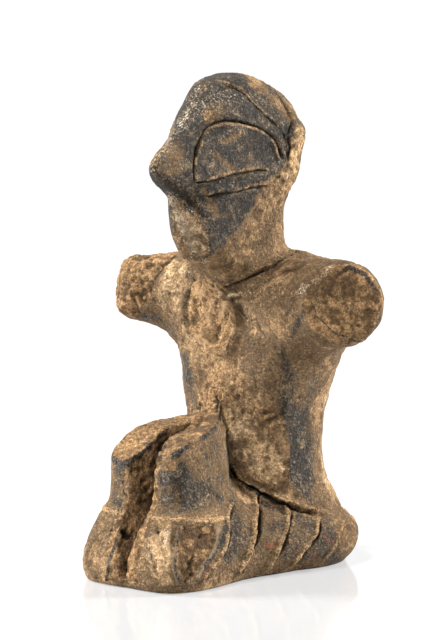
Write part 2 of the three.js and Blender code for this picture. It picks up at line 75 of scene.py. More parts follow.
# Half outline of the lap in plan, then how far it draws in with height
BASE_OUTLINE = [
    (0, -61), (8, -61.2), (14.5, -60.4), (19, -56.8), (21, -50), (21, -42), (21.5, -33), (24, -23),
    (28, -12), (31.5, -2), (33, 7), (31.5, 15), (26, 21), (17, 24), (8, 25), (0, 25),
]
FOOT_INSET = [(0, 2), (2, 0.9), (5, 0.1), (8, 0.6), (11, 1.7), (14, 3.1), (17, 4.6), (20, 6.5), (23, 11),
              (26, 17), (29, 24)]
THIGH_INSET = [(0, 2.6), (2, 1.3), (5, 0.2), (8, 0), (11, 0.3), (14, 1.2), (17, 3), (20, 6.5), (23, 11),
               (26, 17), (29, 24)]
HIP_INSET = [(0, 6), (2, 3.2), (5, 1), (8, 0.1), (10, 0), (12, 0.5), (14, 1.8), (16, 4.2), (18, 8), (20, 13),
             (23, 21)]
LEG_OUTLINE = [
    (0, -51.5), (6, -51.6), (11.5, -50.4), (14.8, -46.5), (15.8, -40.5), (14.8, -33), (11.4, -25.5),
    (7.4, -19.5), (5.4, -16.5), (4.8, -12), (4.5, -7), (0, -4),
]
LEG_INSET = [(0, -3.5), (8, -3.5), (14, -2.5), (20, -0.6), (26, 0), (36, 0.2), (46, 1.5), (52, 3)]
# The broken tops of the legs, and half the gap between them, from the toes back
LEFT_TOP = [(-70, 22), (-56, 34), (-51, 40), (-47, 44), (-41, 46), (-34, 47.5), (-24, 50), (-16, 54)]
RIGHT_TOP = [(-70, 16), (-57, 31), (-52, 37.5), (-47, 39.8), (-43, 42.2), (-38, 44.8), (-33, 46.4), (-24, 48),
             (-15, 50)]
SLOT = [(-70, 4.6), (-60, 4.4), (-52, 4), (-47, 3.5), (-42, 2.8), (-37, 1.8), (-33, 0.4), (-28, -2.5)]

# Scored lines on the left side: guide points, half width, depth, lip height, step behind the line.
PLEATS = [
    ([(14.5, -25, 23), (18.5, -32, 19.5), (22, -38.5, 11.5), (22, -49.5, 2.5)], 0.9, 0.9, 0.55, 0.5),
    ([(13.5, -13.5, 26), (15, -14.5, 24), (18, -17, 20.5), (22.5, -25, 12.5), (22, -32.5, 2)], 1.25, 1.6, 0.75, 0.8),
    ([(21, -7.6, 22), (22.5, -8, 19.8), (24, -8.8, 17.5), (26.5, -15.5, 10.5), (24, -20.5, 2)], 1.1, 1.4, 0.7, 0.8),
    ([(28, 0.5, 16), (30.5, -4.5, 11.5), (29, -8.7, 7), (26.5, -12, 2)], 0.85, 1.0, 0.6, 0.6),
    ([(30.5, 9, 14.5), (33, 4.6, 10), (31.7, 1.5, 6), (28.5, -0.5, 2)], 0.75, 0.8, 0.45, 0.4),
]
# The eye's lines, the cap's and the neck's
HEAD_LINES = [
    ([(6.5, -35, 122), (6.5, -35, 129), (6.2, -32, 134.5), (6.7, -29, 138.4), (9.5, -24.5, 140), (13, -18, 139),
      (16, -10.2, 135.4), (16.6, -4.5, 127.6)], 0.75, 0.95, 0.4, 0),
    ([(6.6, -34.8, 122), (8.7, -29.5, 122.2), (13.2, -16, 124.5), (15, -9.5, 124.3)], 0.75, 0.9, 0.45, 0),
    ([(7, -30.5, 117.2), (9.6, -24, 117.9), (14.3, -8.5, 119.8)], 0.75, 0.95, 0.4, 0),
    ([(0.5, -21.5, 152), (7.7, -17.5, 150), (14, -11.2, 142), (17.2, -5, 134.8), (17.1, -2.7, 127.6)],
     0.7, 0.9, 0.35, 0.35),
    ([(6.5, -3.5, 151), (11.2, -2, 148.2), (16, -0.5, 140.7), (17.6, -3.6, 135.5)], 0.8, 1.0, 0.3, 0),
    ([(1, -15, 87.6), (7.2, -13.9, 89.7), (15.4, -8.8, 95), (17.3, 1.2, 98.5)], 0.8, 1.2, 0.3, 0.3),
]
SHIN_BAND = ([(2.5, -54.5, 21.5), (6.4, -54, 21.5), (13, -52, 21.5), (17, -44, 21), (17.5, -33, 20.5)],
             0.7, 0.3, 0.7, 0)
CREASE = ([(4.4, -16.2, 35), (5.1, -16, 32), (9, -14.8, 27), (18.5, -10.4, 22), (25, -4, 18.5),
           (29, 6, 16)], 1.2, 1.9, 0.5, 0)
LIP_SIDES, NECK_LINE = (1, -1, -1, 1, 1, -1), 5
PLEAT_GAIN, HEAD_GAIN, HIDDEN_SIDE = 1.8, 1.2, 0.8
# The breaks cut only here: the arms between two heights, the knees and the gap below the chin.
ARMS_LOW, ARMS_HIGH, CHIN = 60, 112, 64
KNEES_BACK, GAP_BACK, GAP_FLOOR = -16.6, -27, 3.2

CORNERS = list(product((0, 1), repeat=3))
EDGES = [(a, b) for a, b in product(range(8), repeat=2) if a < b and bin(a ^ b).count("1") == 1]
AROUND = list(product((-1, 0, 1), repeat=3))


# Small maths


def ease(a, b, x):
    """From 0 at a to 1 at b."""
    t = np.clip((x - a) / (b - a), 0, 1)
    return t * t * (3 - 2 * t)


def join(a, b, k):
    """The nearer of two distances, blended over a width k."""
    h = np.maximum(k - np.abs(a - b), 0) / k
    return np.minimum(a, b) - h * h * k * 0.25


def keep(a, b, k):
    """What is inside both, with the corner rounded over a width k."""
    return -join(-a, -b, k)


def profile(keys, column=1):
    """Smooth curve through the keys, flat outside them, read from a fine table."""
    x = np.array([k[0] for k in keys], float)
    y = np.array([k[column] for k in keys], float)
    m = np.gradient(y, x)
    z = np.linspace(x[0], x[-1], 1500)
    i = np.clip(np.searchsorted(x, z) - 1, 0, len(x) - 2)
    h = x[i + 1] - x[i]
    t = (z - x[i]) / h
    v = ((1 + 2 * t) * (1 - t) ** 2 * y[i] + t * (1 - t) ** 2 * h * m[i]
         + t * t * (3 - 2 * t) * y[i + 1] + t * t * (t - 1) * h * m[i + 1])
    return lambda at: np.interp(at, z, v).astype(np.float32)


def oval(x, y, a, b, n):
    """Distance in plan to the oval (x/a)^n + (y/b)^n = 1."""
    u = np.maximum(np.abs(x) / a, 1e-4)
    w = np.maximum(np.abs(y) / b, 1e-4)
    k = (u ** n + w ** n) ** (1 / n)
    return (k - 1) / (np.hypot(u ** (n - 1) / a, w ** (n - 1) / b) * k ** (1 - n))


def limb(x, y, z, shape):
    """Distance to a round limb that tapers from one end to the other."""
    (ax, ay, az), (bx, by, bz), ra, rb = shape
    dx, dy, dz = bx - ax, by - ay, bz - az
    t = np.clip(((x - ax) * dx + (y - ay) * dy + (z - az) * dz) / (dx * dx + dy * dy + dz * dz), 0, 1)
    off = np.sqrt((x - ax - t * dx) ** 2 + (y - ay - t * dy) ** 2 + (z - az - t * dz) ** 2)
    return off - (ra + (rb - ra) * t)


def spline(p, steps):
    """A smooth curve from the second point to the last but one, with this many steps between points."""
    t = np.linspace(0, 1, steps, endpoint=False)[:, None]
    out = [0.5 * (2 * b + (c - a) * t + (2 * a - 5 * b + 4 * c - d) * t * t + (3 * b - a - 3 * c + d) * t ** 3)
           for a, b, c, d in zip(p, p[1:], p[2:], p[3:])]
    return np.concatenate([*out, p[-2:-1]])


def smooth_outline(points):
    p = [(-points[1][0], points[1][1]), *points, (-points[-2][0], points[-2][1])]
    return spline(np.array(p, float), 4)


def polygon_distance(x, y, points, closed=False):
    """Distance to a run of points, negative inside it."""
    best = np.full(x.shape, 1e9, np.float32)
    inside = np.zeros(x.shape, bool)
    ends = list(points[1:]) + ([points[0]] if closed else [])
    for (ax, ay), (bx, by) in zip(points, ends):
        dx, dy = bx - ax, by - ay
        t = np.clip(((x - ax) * dx + (y - ay) * dy) / max(dx * dx + dy * dy, 1e-9), 0, 1)
        best = np.minimum(best, (x - ax - t * dx) ** 2 + (y - ay - t * dy) ** 2)
        if abs(dy) > 1e-9:
            inside ^= ((ay > y) != (by > y)) & (x < ax + (y - ay) / dy * dx)
    best = np.sqrt(best)
    return np.where(inside, -best, best)


def plan(points):
    """Signed distance in plan to a half outline, read from a table."""
    cell = 0.25
    xs = np.arange(0, 60.1, cell)
    ys = np.arange(-76, 46.1, cell)
    grid_x, grid_y = np.meshgrid(xs, ys, indexing="ij")
    table = polygon_distance(grid_x, grid_y, smooth_outline(points)).astype(np.float32)

    def at(x, y):
        fx = np.clip(x / cell, 0, len(xs) - 1.001)
        fy = np.clip((y + 76) / cell, 0, len(ys) - 1.001)
        ix, iy = fx.astype(np.int32), fy.astype(np.int32)
        fx, fy = fx - ix, fy - iy
        low = table[ix, iy] * (1 - fx) + table[ix + 1, iy] * fx
        high = table[ix, iy + 1] * (1 - fx) + table[ix + 1, iy + 1] * fx
        return low * (1 - fy) + high * fy

    return at


def lattice(i, j, k, seed):
    """A random number from 0 to 1 for each whole-numbered place."""
    h = (i.astype(np.uint32) * np.uint32(374761393) + j.astype(np.uint32) * np.uint32(668265263)
         + k.astype(np.uint32) * np.uint32(2246822519) + np.uint32(seed * 974634777 & 0xFFFFFFFF))
    h = (h ^ (h >> np.uint32(13))) * np.uint32(1274126177)
    h = (h ^ (h >> np.uint32(16))) * np.uint32(2654435761)
    return ((h ^ (h >> np.uint32(15))) >> np.uint32(8)).astype(np.float32) / 16777216


def noise(p, size, seed, octaves=1):
    """Smooth noise from -1 to 1 whose bumps are about this many millimetres across."""
    total = np.zeros(len(p), np.float32)
    weight = 0.0
    for o in range(octaves):
        q = p / (size / 2 ** o) + 31.7 * (seed + o)
        cell = np.floor(q)
        f = (q - cell).astype(np.float32)
        f = f * f * (3 - 2 * f)
        i, j, k = cell.astype(np.int32).T
        value = np.zeros(len(p), np.float32)
        for a, b, c in CORNERS:
            w = ((f[:, 0] if a else 1 - f[:, 0]) * (f[:, 1] if b else 1 - f[:, 1])
                 * (f[:, 2] if c else 1 - f[:, 2]))
            value += w * lattice(i + a, j + b, k + c, seed + 17 * o)
        total += (value * 2 - 1) * 0.55 ** o
        weight += 0.55 ** o
    return total / weight * 1.4


def pits(p, size, seed, share):
    """Depth from 0 to 1 inside round pits strewn at random, about one to a cell."""
    q = p / size
    cell = np.floor(q).astype(np.int32)
    best = np.zeros(len(p), np.float32)
    for offset in AROUND:
        i, j, k = (cell + offset).T
        there, dx, dy, dz, size_here = (lattice(i, j, k, seed + s) for s in range(5))
        centre = np.stack([i + dx, j + dy, k + dz], 1)
        radius = 0.22 + 0.38 * size_here
        off = np.sqrt(((q - centre) ** 2).sum(1))
        best = np.maximum(best, np.where(there < share, np.clip(1 - (off / radius) ** 2, 0, 1), 0))
    return best


# The form as a distance field

torso_width, torso_depth, torso_middle = (profile(TORSO, c) for c in (1, 2, 3))
head_width, head_middle, head_front, head_back, head_round = (profile(HEAD, c) for c in (1, 2, 3, 4, 5))
ridge_radius = profile(RIDGE)
foot_inset, thigh_inset, hip_inset, leg_inset = map(profile, (FOOT_INSET, THIGH_INSET, HIP_INSET, LEG_INSET))
left_top, right_top, slot_half = profile(LEFT_TOP), profile(RIGHT_TOP), profile(SLOT)
base_plan, leg_plan = plan(BASE_OUTLINE), plan(LEG_OUTLINE)


def head(x, y, z):
    """The head in level slices, with a rounded ridge down its front, the lugs of the ears and the neck."""
    out = np.abs(x)
    level = z + 0.45 * np.minimum(out, 9) * ease(107, 117, z) * (1 - ease(123, 131, z))
    width, middle, ridge, n = head_width(level), head_middle(level), ridge_radius(level), head_round(level)
    ahead = y < middle
    sharp = (1 - np.minimum(ridge / width, 0.45) ** n) ** (1 / n)
    length = np.where(ahead, (middle - head_front(level)) / sharp, head_back(level))
    d = oval(np.hypot(x, ridge), y - middle, width, length, np.where(ahead, n, 2))
    d = keep(keep(d, level - 153.9, 2), 82 - level, 3)
    return join(join(d, limb(out, y, z, EAR_LUG), 3), limb(x, y, z, NECK), 5)


def upper_body(x, y, z):
    trunk = keep(oval(x, y - torso_middle(z), torso_width(z), torso_depth(z), 2.3), z - 95, 8)
    arms = join(limb(x, y, z, LEFT_ARM), limb(x, y, z, RIGHT_ARM), 1)
    return join(join(trunk, arms, 12), head(x, y, z), 4)


def leg_top(x, y):
    """Height of the broken top of either leg."""
    return np.where(x < 0, right_top(y), left_top(y))


def lower_body(x, y, z):
    """The lap, whose side draws in as a foot, a thigh and a hip from front to back, and the legs standing in it."""
    out = np.abs(x)
    to_hip, to_foot = ease(-22, 2, y), ease(-36, -46, y)
    above = np.maximum(z - 23, 0) * 1.5 * to_hip + np.maximum(z - 29, 0) * 6
    behind = thigh_inset(z) * (1 - to_hip) + hip_inset(z) * to_hip
    lap = (base_plan(out, y) + behind * (1 - to_foot) + foot_inset(z) * to_foot + above) * 0.8
    right = x < 0
    legs = leg_plan(out * np.where(right, 0.92, 1), y * np.where(right, 0.98, 1)) + leg_inset(z)
    return join(keep(legs, z - leg_top(x, y) - 2.5, 2.5), lap, 9)


def smooth_figure(p):
    """The form before it was scored and broken."""
    x, y, z = p.T
    return join(upper_body(x, y, z), lower_body(x, y, z), 1.5 + 3 * ease(27, 35, z))


def beyond(x, y, z, cut):
    """How far out past a break the point lies."""
    at, facing = cut
    facing = np.array(facing) / np.linalg.norm(facing)
    return (x - at[0]) * facing[0] + (y - at[1]) * facing[1] + (z - at[2]) * facing[2]


def broken_figure(p, d=None):
    """The form with its breaks, the gap between the legs and the flat underside."""
    x, y, z = p.T
    if d is None:
        d = smooth_figure(p)
    wave = noise(p, 5, 11, 2)
    arm_level = (z > ARMS_LOW) & (z < ARMS_HIGH)
    left = beyond(x, y, z, LEFT_BREAK) + 0.25 * wave
    d = np.where((x > 22) & arm_level, keep(d, left, 0.7), d)
    right = beyond(x, y, z, RIGHT_BREAK) + 0.7 * wave
    d = np.where((x < -22) & arm_level, keep(d, right, 2.5), d)
    top = leg_top(x, y) + 0.22 * wave
    d = keep(d, -np.maximum.reduce([top - z, z - CHIN, y - KNEES_BACK]), 0.6)
    half = slot_half(y) * (0.3 + 0.7 * ease(7, 26, z)) + 0.15 * wave
    half = half + (1.1 + 1.5 * ease(-42, -34, y)) * ease(26, 42, z)
    gap = np.maximum.reduce([np.abs(x + 0.12 * wave) - half, GAP_FLOOR - z, y - GAP_BACK, z - CHIN])
    d = keep(d, -gap, 0.9)
    return keep(d, -z, 0.8)


def slope(field, p, e=0.15):
    """The way the field rises, by differences over 2e."""
    out = np.empty_like(p)
    for axis in range(3):
        o = np.zeros(3, np.float32)
        o[axis] = e
        out[:, axis] = field(p + o) - field(p - o)
    return out / (2 * e)


def settle(field, p, rounds=5):
    """The points moved onto the field's surface."""
    for _ in range(rounds):
        g = slope(field, p)
        p = p - g * (field(p) / np.maximum((g * g).sum(1), 0.3))[:, None]
    return p


def unit(v):
    return v / np.maximum(np.linalg.norm(v, axis=-1, keepdims=True), 1e-9)


def along(points, gap=0.5):
    """Evenly spaced points on a smooth curve through the guide points."""
    p = np.array(points, float)
    out = spline(np.concatenate([[2 * p[0] - p[1]], p, [2 * p[-1] - p[-2]]]), 24)
    run = np.concatenate([[0], np.cumsum(np.linalg.norm(np.diff(out, axis=0), axis=1))])
    at = np.linspace(0, run[-1], max(int(run[-1] / gap), 4))
    return np.stack([np.interp(at, run, out[:, k]) for k in range(3)], 1).astype(np.float32)


class Line:
    """A scored line on the surface; s is measured across it, towards the back of the figure."""

    # A line's groove is painted dark by a given amount, as shade in the groove.
    def __init__(self, guide, half, depth, lip, step, side, lip_side, seed, fade=(2.0, 2.5), soil=0.9, clay=0.0,
                 wander=0.22):
        points = along(guide) * (side, 1, 1)
        self.at = settle(smooth_figure, points.astype(np.float32))
        self.normal = unit(slope(smooth_figure, self.at, 0.4))
        self.run = unit(np.gradient(self.at, axis=0))
        self.across = unit(np.cross(self.run, self.normal)) * side
        if self.across[:, 1].mean() < 0:
            self.across = -self.across
        self.half, self.depth, self.lip, self.step = half, depth, lip, step
        self.lip_side, self.seed, self.fade = lip_side, seed, fade
        self.soil, self.clay, self.wander = soil, clay, wander
        self.reach = 5.0 if step else max(3.2, half * 3)
        self.length = len(self.at) * 0.5

    def near(self, p):
        """The points near the line: their index, place across it, place along it, and themselves."""
        low, high = self.at.min(0) - self.reach, self.at.max(0) + self.reach
        index = np.flatnonzero(((p > low) & (p < high)).all(1))
        if not len(index):
            return index, None, None, None
        q = p[index]
        nearest = np.empty(len(q), np.int32)
        for start in range(0, len(q), AT_ONCE // 20):
            here = slice(start, start + AT_ONCE // 20)
            gap = (q[here] ** 2).sum(1)[:, None] - 2 * q[here] @ self.at.T + (self.at ** 2).sum(1)[None]
            nearest[here] = gap.argmin(1)
        e = q - self.at[nearest]
        rise = (e * self.normal[nearest]).sum(1)
        s = (e * self.across[nearest]).sum(1)
        ahead = (e * self.run[nearest]).sum(1)
        close = (np.abs(s) < self.reach) & (np.abs(rise) < 3.4) & (np.abs(ahead) < 1.2)
        index, nearest, s, ahead = index[close], nearest[close], s[close], ahead[close]
        return index, s, nearest * 0.5 + ahead, p[index]

    def shape(self, s, u, q):
        """Height above the plain surface, and how much of it is groove and lip."""
        ends = ease(-0.3, self.fade[0], u) * ease(-0.3, self.fade[1], self.length - u)
        s = s + self.wander * noise(q, 3.5, self.seed + 3, 2)
        half = self.half * (0.82 + (0.2 + 0.4 * self.wander) * noise(q, 4.5, self.seed + 5)) * (0.6 + 0.4 * ends)
        groove = (1 - ease(0.3, 1.05, np.abs(s) / half)) * ends
        ragged = np.clip(0.9 + 3 * self.wander * noise(q, 1.8, self.seed + 7, 2), 0, 1.8)
        off = s * self.lip_side
        lip = np.exp(-((off - half * 1.2) / (0.5 + 0.4 * self.lip)) ** 2) * ends * ragged
        back_lip = 0.4 * np.exp(-((off + half * 1.2) / 0.5) ** 2) * ends * ragged
        height = -self.depth * groove + self.lip * (lip + back_lip)
        if self.step:
            height -= self.step * np.exp(-np.maximum(s, 0) / 2.2) * ease(-0.4, 0.5, s) * ends
            height += 0.35 * self.step * np.exp(np.minimum(s, 0) / 1.8) * (1 - ease(-0.5, 0.4, s)) * ends
        return height, groove, np.clip(lip + back_lip, 0, 1)


lines = []
for side in (1, -1):
    deep = 1 if side > 0 else HIDDEN_SIDE
    for k, (guide, half, depth, lip, fold) in enumerate(PLEATS if side > 0 else PLEATS[:4]):
        lines.append(Line(guide, half, depth * deep, lip * deep * PLEAT_GAIN, fold * deep * PLEAT_GAIN, side, -1,
                          20 + k, soil=0.8))
    for k, (guide, half, depth, lip, fold) in enumerate(HEAD_LINES):
        soil, grit = (0.8, 0) if k == NECK_LINE else (0.66, 0.3)
        lines.append(Line(guide, half, depth * deep, lip * deep * HEAD_GAIN, fold, side, LIP_SIDES[k], 40 + k,
                          fade=(1.0, 1.5), soil=soil, clay=grit))
    lines.append(Line(*SHIN_BAND, side, -1, 60, soil=0.1, wander=0.08))
    guide, half, depth, lip, fold = CREASE
    lines.append(Line(guide, half, depth * deep, lip, fold, side, 1, 61, fade=(6, 12), wander=0.6))


def full_figure(p):
    """The form, scored near its surface, then broken."""
    d = smooth_figure(p)
    near = np.flatnonzero(np.abs(d) < 4.5)
    for line in lines:
        index, s, run, q = line.near(p[near])
        if len(index):
            d[near[index]] -= line.shape(s, run, q)[0]
    return broken_figure(p, d)


# Skin: one point in each grid cell that the surface crosses, one face over each crossed grid edge


def skin(field, low, high, step, block=6):
    """Points and four-sided faces on the field's surface, worked out only in blocks that lie near it."""
    n = [int(math.ceil((high[a] - low[a]) / step / block)) * block + 1 for a in range(3)]
    counts = [(m - 1) // block for m in n]
    blocks = np.stack(np.meshgrid(*(np.arange(c) for c in counts), indexing="ij"), -1).reshape(-1, 3)
    centre = ((blocks + 0.5) * block * step + low).astype(np.float32)
    reach = block * step * 0.87 + 1.8
    for form in (smooth_figure, broken_figure):
        steep = np.linalg.norm(slope(form, centre, 0.5), axis=1)
        far = np.abs(form(centre)) / np.clip(steep, 0.4, 3)
        close = far < reach * 1.3 if form is smooth_figure else close | (far < reach * 1.2)
    wanted = np.zeros(n, bool)
    for i, j, k in blocks[close] * block:
        wanted[i:i + block + 1, j:j + block + 1, k:k + block + 1] = True
    index = np.flatnonzero(wanted.ravel())
    values = np.full(wanted.size, np.nan, np.float32)
    for start in range(0, len(index), AT_ONCE):
        part = index[start:start + AT_ONCE]
        grid = np.stack(np.unravel_index(part, n), 1).astype(np.float32)
        values[part] = field((grid * step + low).astype(np.float32))
    values = values.reshape(n)
    inside = values < 0
    known = np.isfinite(values)

    # One point in each crossed cell, in the middle of where the surface crosses its edges
    number = np.full(n, -1, np.int32)
    cells = [m - 1 for m in n]
    count = np.zeros(cells, np.int8)
    valid = np.ones(cells, bool)
    for corner in CORNERS:
        part = tuple(slice(c, c + size) for c, size in zip(corner, cells))
        count += inside[part]
        valid &= known[part]
    active = np.stack(np.nonzero(valid & (count > 0) & (count < 8)), 1)
    number[tuple(active.T)] = np.arange(len(active))
    value = [values[tuple((active + c).T)] for c in CORNERS]
    total = np.zeros((len(active), 3), np.float32)
    crossings = np.zeros(len(active), np.float32)
    for a, b in EDGES:
        crossed = (value[a] < 0) != (value[b] < 0)
        t = np.where(crossed, value[a] / np.where(crossed, value[a] - value[b], 1), 0)
        place = np.array(CORNERS[a], np.float32) + t[:, None] * np.subtract(CORNERS[b], CORNERS[a])
        total += np.where(crossed[:, None], place, 0)
        crossings += crossed
    points = (active + total / crossings[:, None]) * step + low

    # One face round each grid edge whose ends lie on either side of the surface
    faces = []
    for axis in range(3):
        u, v = (axis + 1) % 3, (axis + 2) % 3
        a = np.moveaxis(inside, axis, 0)
        k = np.moveaxis(known, axis, 0)
        crossed = (a[:-1] != a[1:]) & k[:-1] & k[1:]
        place = np.stack(np.nonzero(crossed), 1)
        grid = np.empty_like(place)
        grid[:, axis] = place[:, 0]
        grid[:, [x for x in range(3) if x != axis]] = place[:, 1:]
        grid = grid[(grid[:, u] > 0) & (grid[:, v] > 0)]
        here = inside[tuple(grid.T)]
        eu, ev = np.eye(3, dtype=int)[[u, v]]
        quad = np.stack([number[tuple((grid - o).T)] for o in (eu + ev, ev, 0 * eu, eu)], 1)
        quad = np.where(here[:, None], quad, quad[:, ::-1])
        faces.append(quad[(quad >= 0).all(1)])
    return points.astype(np.float32), np.concatenate(faces)


def vertex_normals(points, faces):
    total = np.zeros_like(points)
    a, b, c, d = (points[faces[:, k]] for k in range(4))
    n = np.cross(c - a, d - b)
    for k in range(4):
        for axis in range(3):
            total[:, axis] += np.bincount(faces[:, k], n[:, axis], len(points))
    return unit(total)


# The camera stands where the photograph was taken from, and marks are placed by its picture.
# SCALE is in pixels per millimetre at the figure's axis; ORIGIN is where the axis meets the ground.

AZIMUTH, ELEVATION, DISTANCE, SCALE = math.radians(40), math.radians(7.5), 1000.0, 3.15
ORIGIN_X, ORIGIN_Y = 250.0, 557.0
CENTRE_X, CENTRE_Y, TALL = 213.5, 320, 640
back = np.array([math.sin(AZIMUTH) * math.cos(ELEVATION), -math.cos(AZIMUTH) * math.cos(ELEVATION),
                 math.sin(ELEVATION)])
right = np.array([math.cos(AZIMUTH), math.sin(AZIMUTH), 0.0])
up = np.cross(back, right)
aim = right * (CENTRE_X - ORIGIN_X) / SCALE - up * (CENTRE_Y - ORIGIN_Y) / SCALE
eye = aim + back * DISTANCE


def picture(p):
    """Place in the picture, in pixels, and depth from the camera, in millimetres."""
    d = p - eye
    depth = -(d @ back)
    f = SCALE * DISTANCE
    return CENTRE_X + f * (d @ right) / depth, CENTRE_Y - f * (d @ up) / depth, depth


def seen(p, normal):
    """1 where the camera sees the surface, 0 where it is hidden or turned away, with a soft change between."""
    u, v, depth = picture(p)
    cell = tuple(np.clip((w / 1.5).astype(int), 0, most) for w, most in ((u, 320), (v, 460)))
    front = np.full((321, 461), 1e9)
    np.minimum.at(front, cell, depth)
    low = front.copy()
    for shift in product((-1, 0, 1), repeat=2):
        low = np.minimum(low, np.roll(front, shift, (0, 1)))
    facing = (unit(eye - p) * normal).sum(1)
    return ease(0.0, 0.14, facing) * ease(6.0, 3.0, depth - low[cell])


def mark(u, v, radius, soft, spots):
    """1 in a brush stroke through the spots, or inside their outline if it has no radius, with a soft edge."""
    if radius is None:
        off = polygon_distance(u, v, spots, True)
    else:
        off = np.full(u.shape, 1e9, np.float32)
        for (ax, ay), (bx, by), ra, rb in zip(spots, spots[1:], radius, radius[1:]):
            dx, dy = bx - ax, by - ay
            t = np.clip(((u - ax) * dx + (v - ay) * dy) / max(dx * dx + dy * dy, 1e-9), 0, 1)
            off = np.minimum(off, np.hypot(u - ax - t * dx, v - ay - t * dy) - (ra + (rb - ra) * t))
    return np.clip(0.5 - off / soft, 0, 1)


def marks(u, v, rows):
    """The strongest of the marks at each place."""
    total = np.zeros(u.shape, np.float32)
    for strength, radius, soft, spots in rows:
        total = np.maximum(total, strength * mark(u, v, radius, soft, spots))
    return total


def spots(text):
    """Places in the picture, in pixels across and down."""
    return [tuple(map(float, spot.split(","))) for spot in text.split()]


def table(text):
    """Marks from rows of text: strength; radius along a stroke, or "area"; softness; places or an area's name.

    An indented line goes on with the row above it.
    """
    rows = []
    for row in text.replace("\n    ", " ").strip().splitlines():
        strength, radius, soft, where = (part.strip() for part in row.split(";"))
        where = AREAS.get(where) or spots(where)
        if radius == "area":
            radius = None
        else:
            where = where * 2 if len(where) == 1 else where
            radius = [float(r) for r in radius.split()]
            radius = radius * len(where) if len(radius) == 1 else radius
        rows.append((float(strength), radius, float(soft), where))
    return rows


# Outlines in the picture
AREAS = {name: spots(text) for name, text in {
    "mask": "148,168 160,148 174,130 176,110 184,88 200,72 230,66 256,72 282,94 298,120 306,131 292,146 288,160 "
        "283,169 272,178 266,184 262,193 253,204 244,218 234,232 223,245 213,256 202,262 190,256 178,242 168,222 "
        "162,200 160,190 148,178",
    "lap": "222,452 231,464 242,476 258,486 276,493 290,503 316,514 342,512 360,530 354,556 330,574 290,582 "
        "240,588 224,572 224,540 226,500",
    "stump": "134,255 150,250 172,250 173,259 159,274 150,296 140,311 128,318 112,306 114,286 122,267",
    "chest": "198,272 218,284 231,300 235,318 229,338 225,352 217,361 203,350 193,334 188,312 191,290",
    "belly": "196,352 220,364 240,372 262,388 276,420 286,478 262,477 238,466 224,432 218,412 200,400",
    "foot": "183,527 213,527 215,541 207,560 197,574 186,583 180,568 180,543",
    "ear": "286,140 300,124 308,128 306,146 300,168 291,186 284,196 272,181 284,169 289,156",
    "leg top": "186,433 196,424 212,404 221,402 222,416 206,424",
    "arm break": "313,303 334,278 347,266 364,266 377,280 387,300 388,314 380,333 361,342 338,335 318,318",
    "lower mask": "168,192 176,196 186,206 200,222 208,236 208,250 198,258 186,250 176,232 169,212",
}.items()}

# Areas where clay is broken open: how raw, how rough, how soft the border
BROKEN = {"stump": (1, 0.9, 4), "chest": (0.95, 0.6, 4), "belly": (0.55, 0.3, 12), "foot": (1, 0.8, 3),
          "ear": (0.8, 0.6, 4), "leg top": (0.8, 0.4, 3), "arm break": (0.7, 0.25, 3)}
RAW, ROUGH = ([(share[k], None, share[2], AREAS[name]) for name, share in BROKEN.items()] for k in (0, 1))
# Dusty, lighter clay, and painted light on faces that catch the lamps, such as the belly, the far arm and the
# flank's edge.
LIT_AND_DUSTY = table("""
0.6; area; 8; 170,196 178,200 188,210 202,224 209,238 208,252 198,260 186,252 176,234 170,214
1; area; 12; 216,404 232,408 246,414 266,430 282,462 280,482 262,476 240,464 230,448
0.55; area; 7; 148,530 170,528 175,548 171,566 176,588 158,590 146,574 144,550
0.3; area; 8; 86,550 98,530 112,545 112,578 96,584 86,572
0.6; area; 6; ear
0.5; area; 8; 318,432 332,436 340,492 332,502 320,482
0.5; area; 8; 172,254 192,262 184,290 180,318 160,306 152,292
0.35; area; 9; 300,258 345,262 366,270 352,272 330,276 304,272
""")
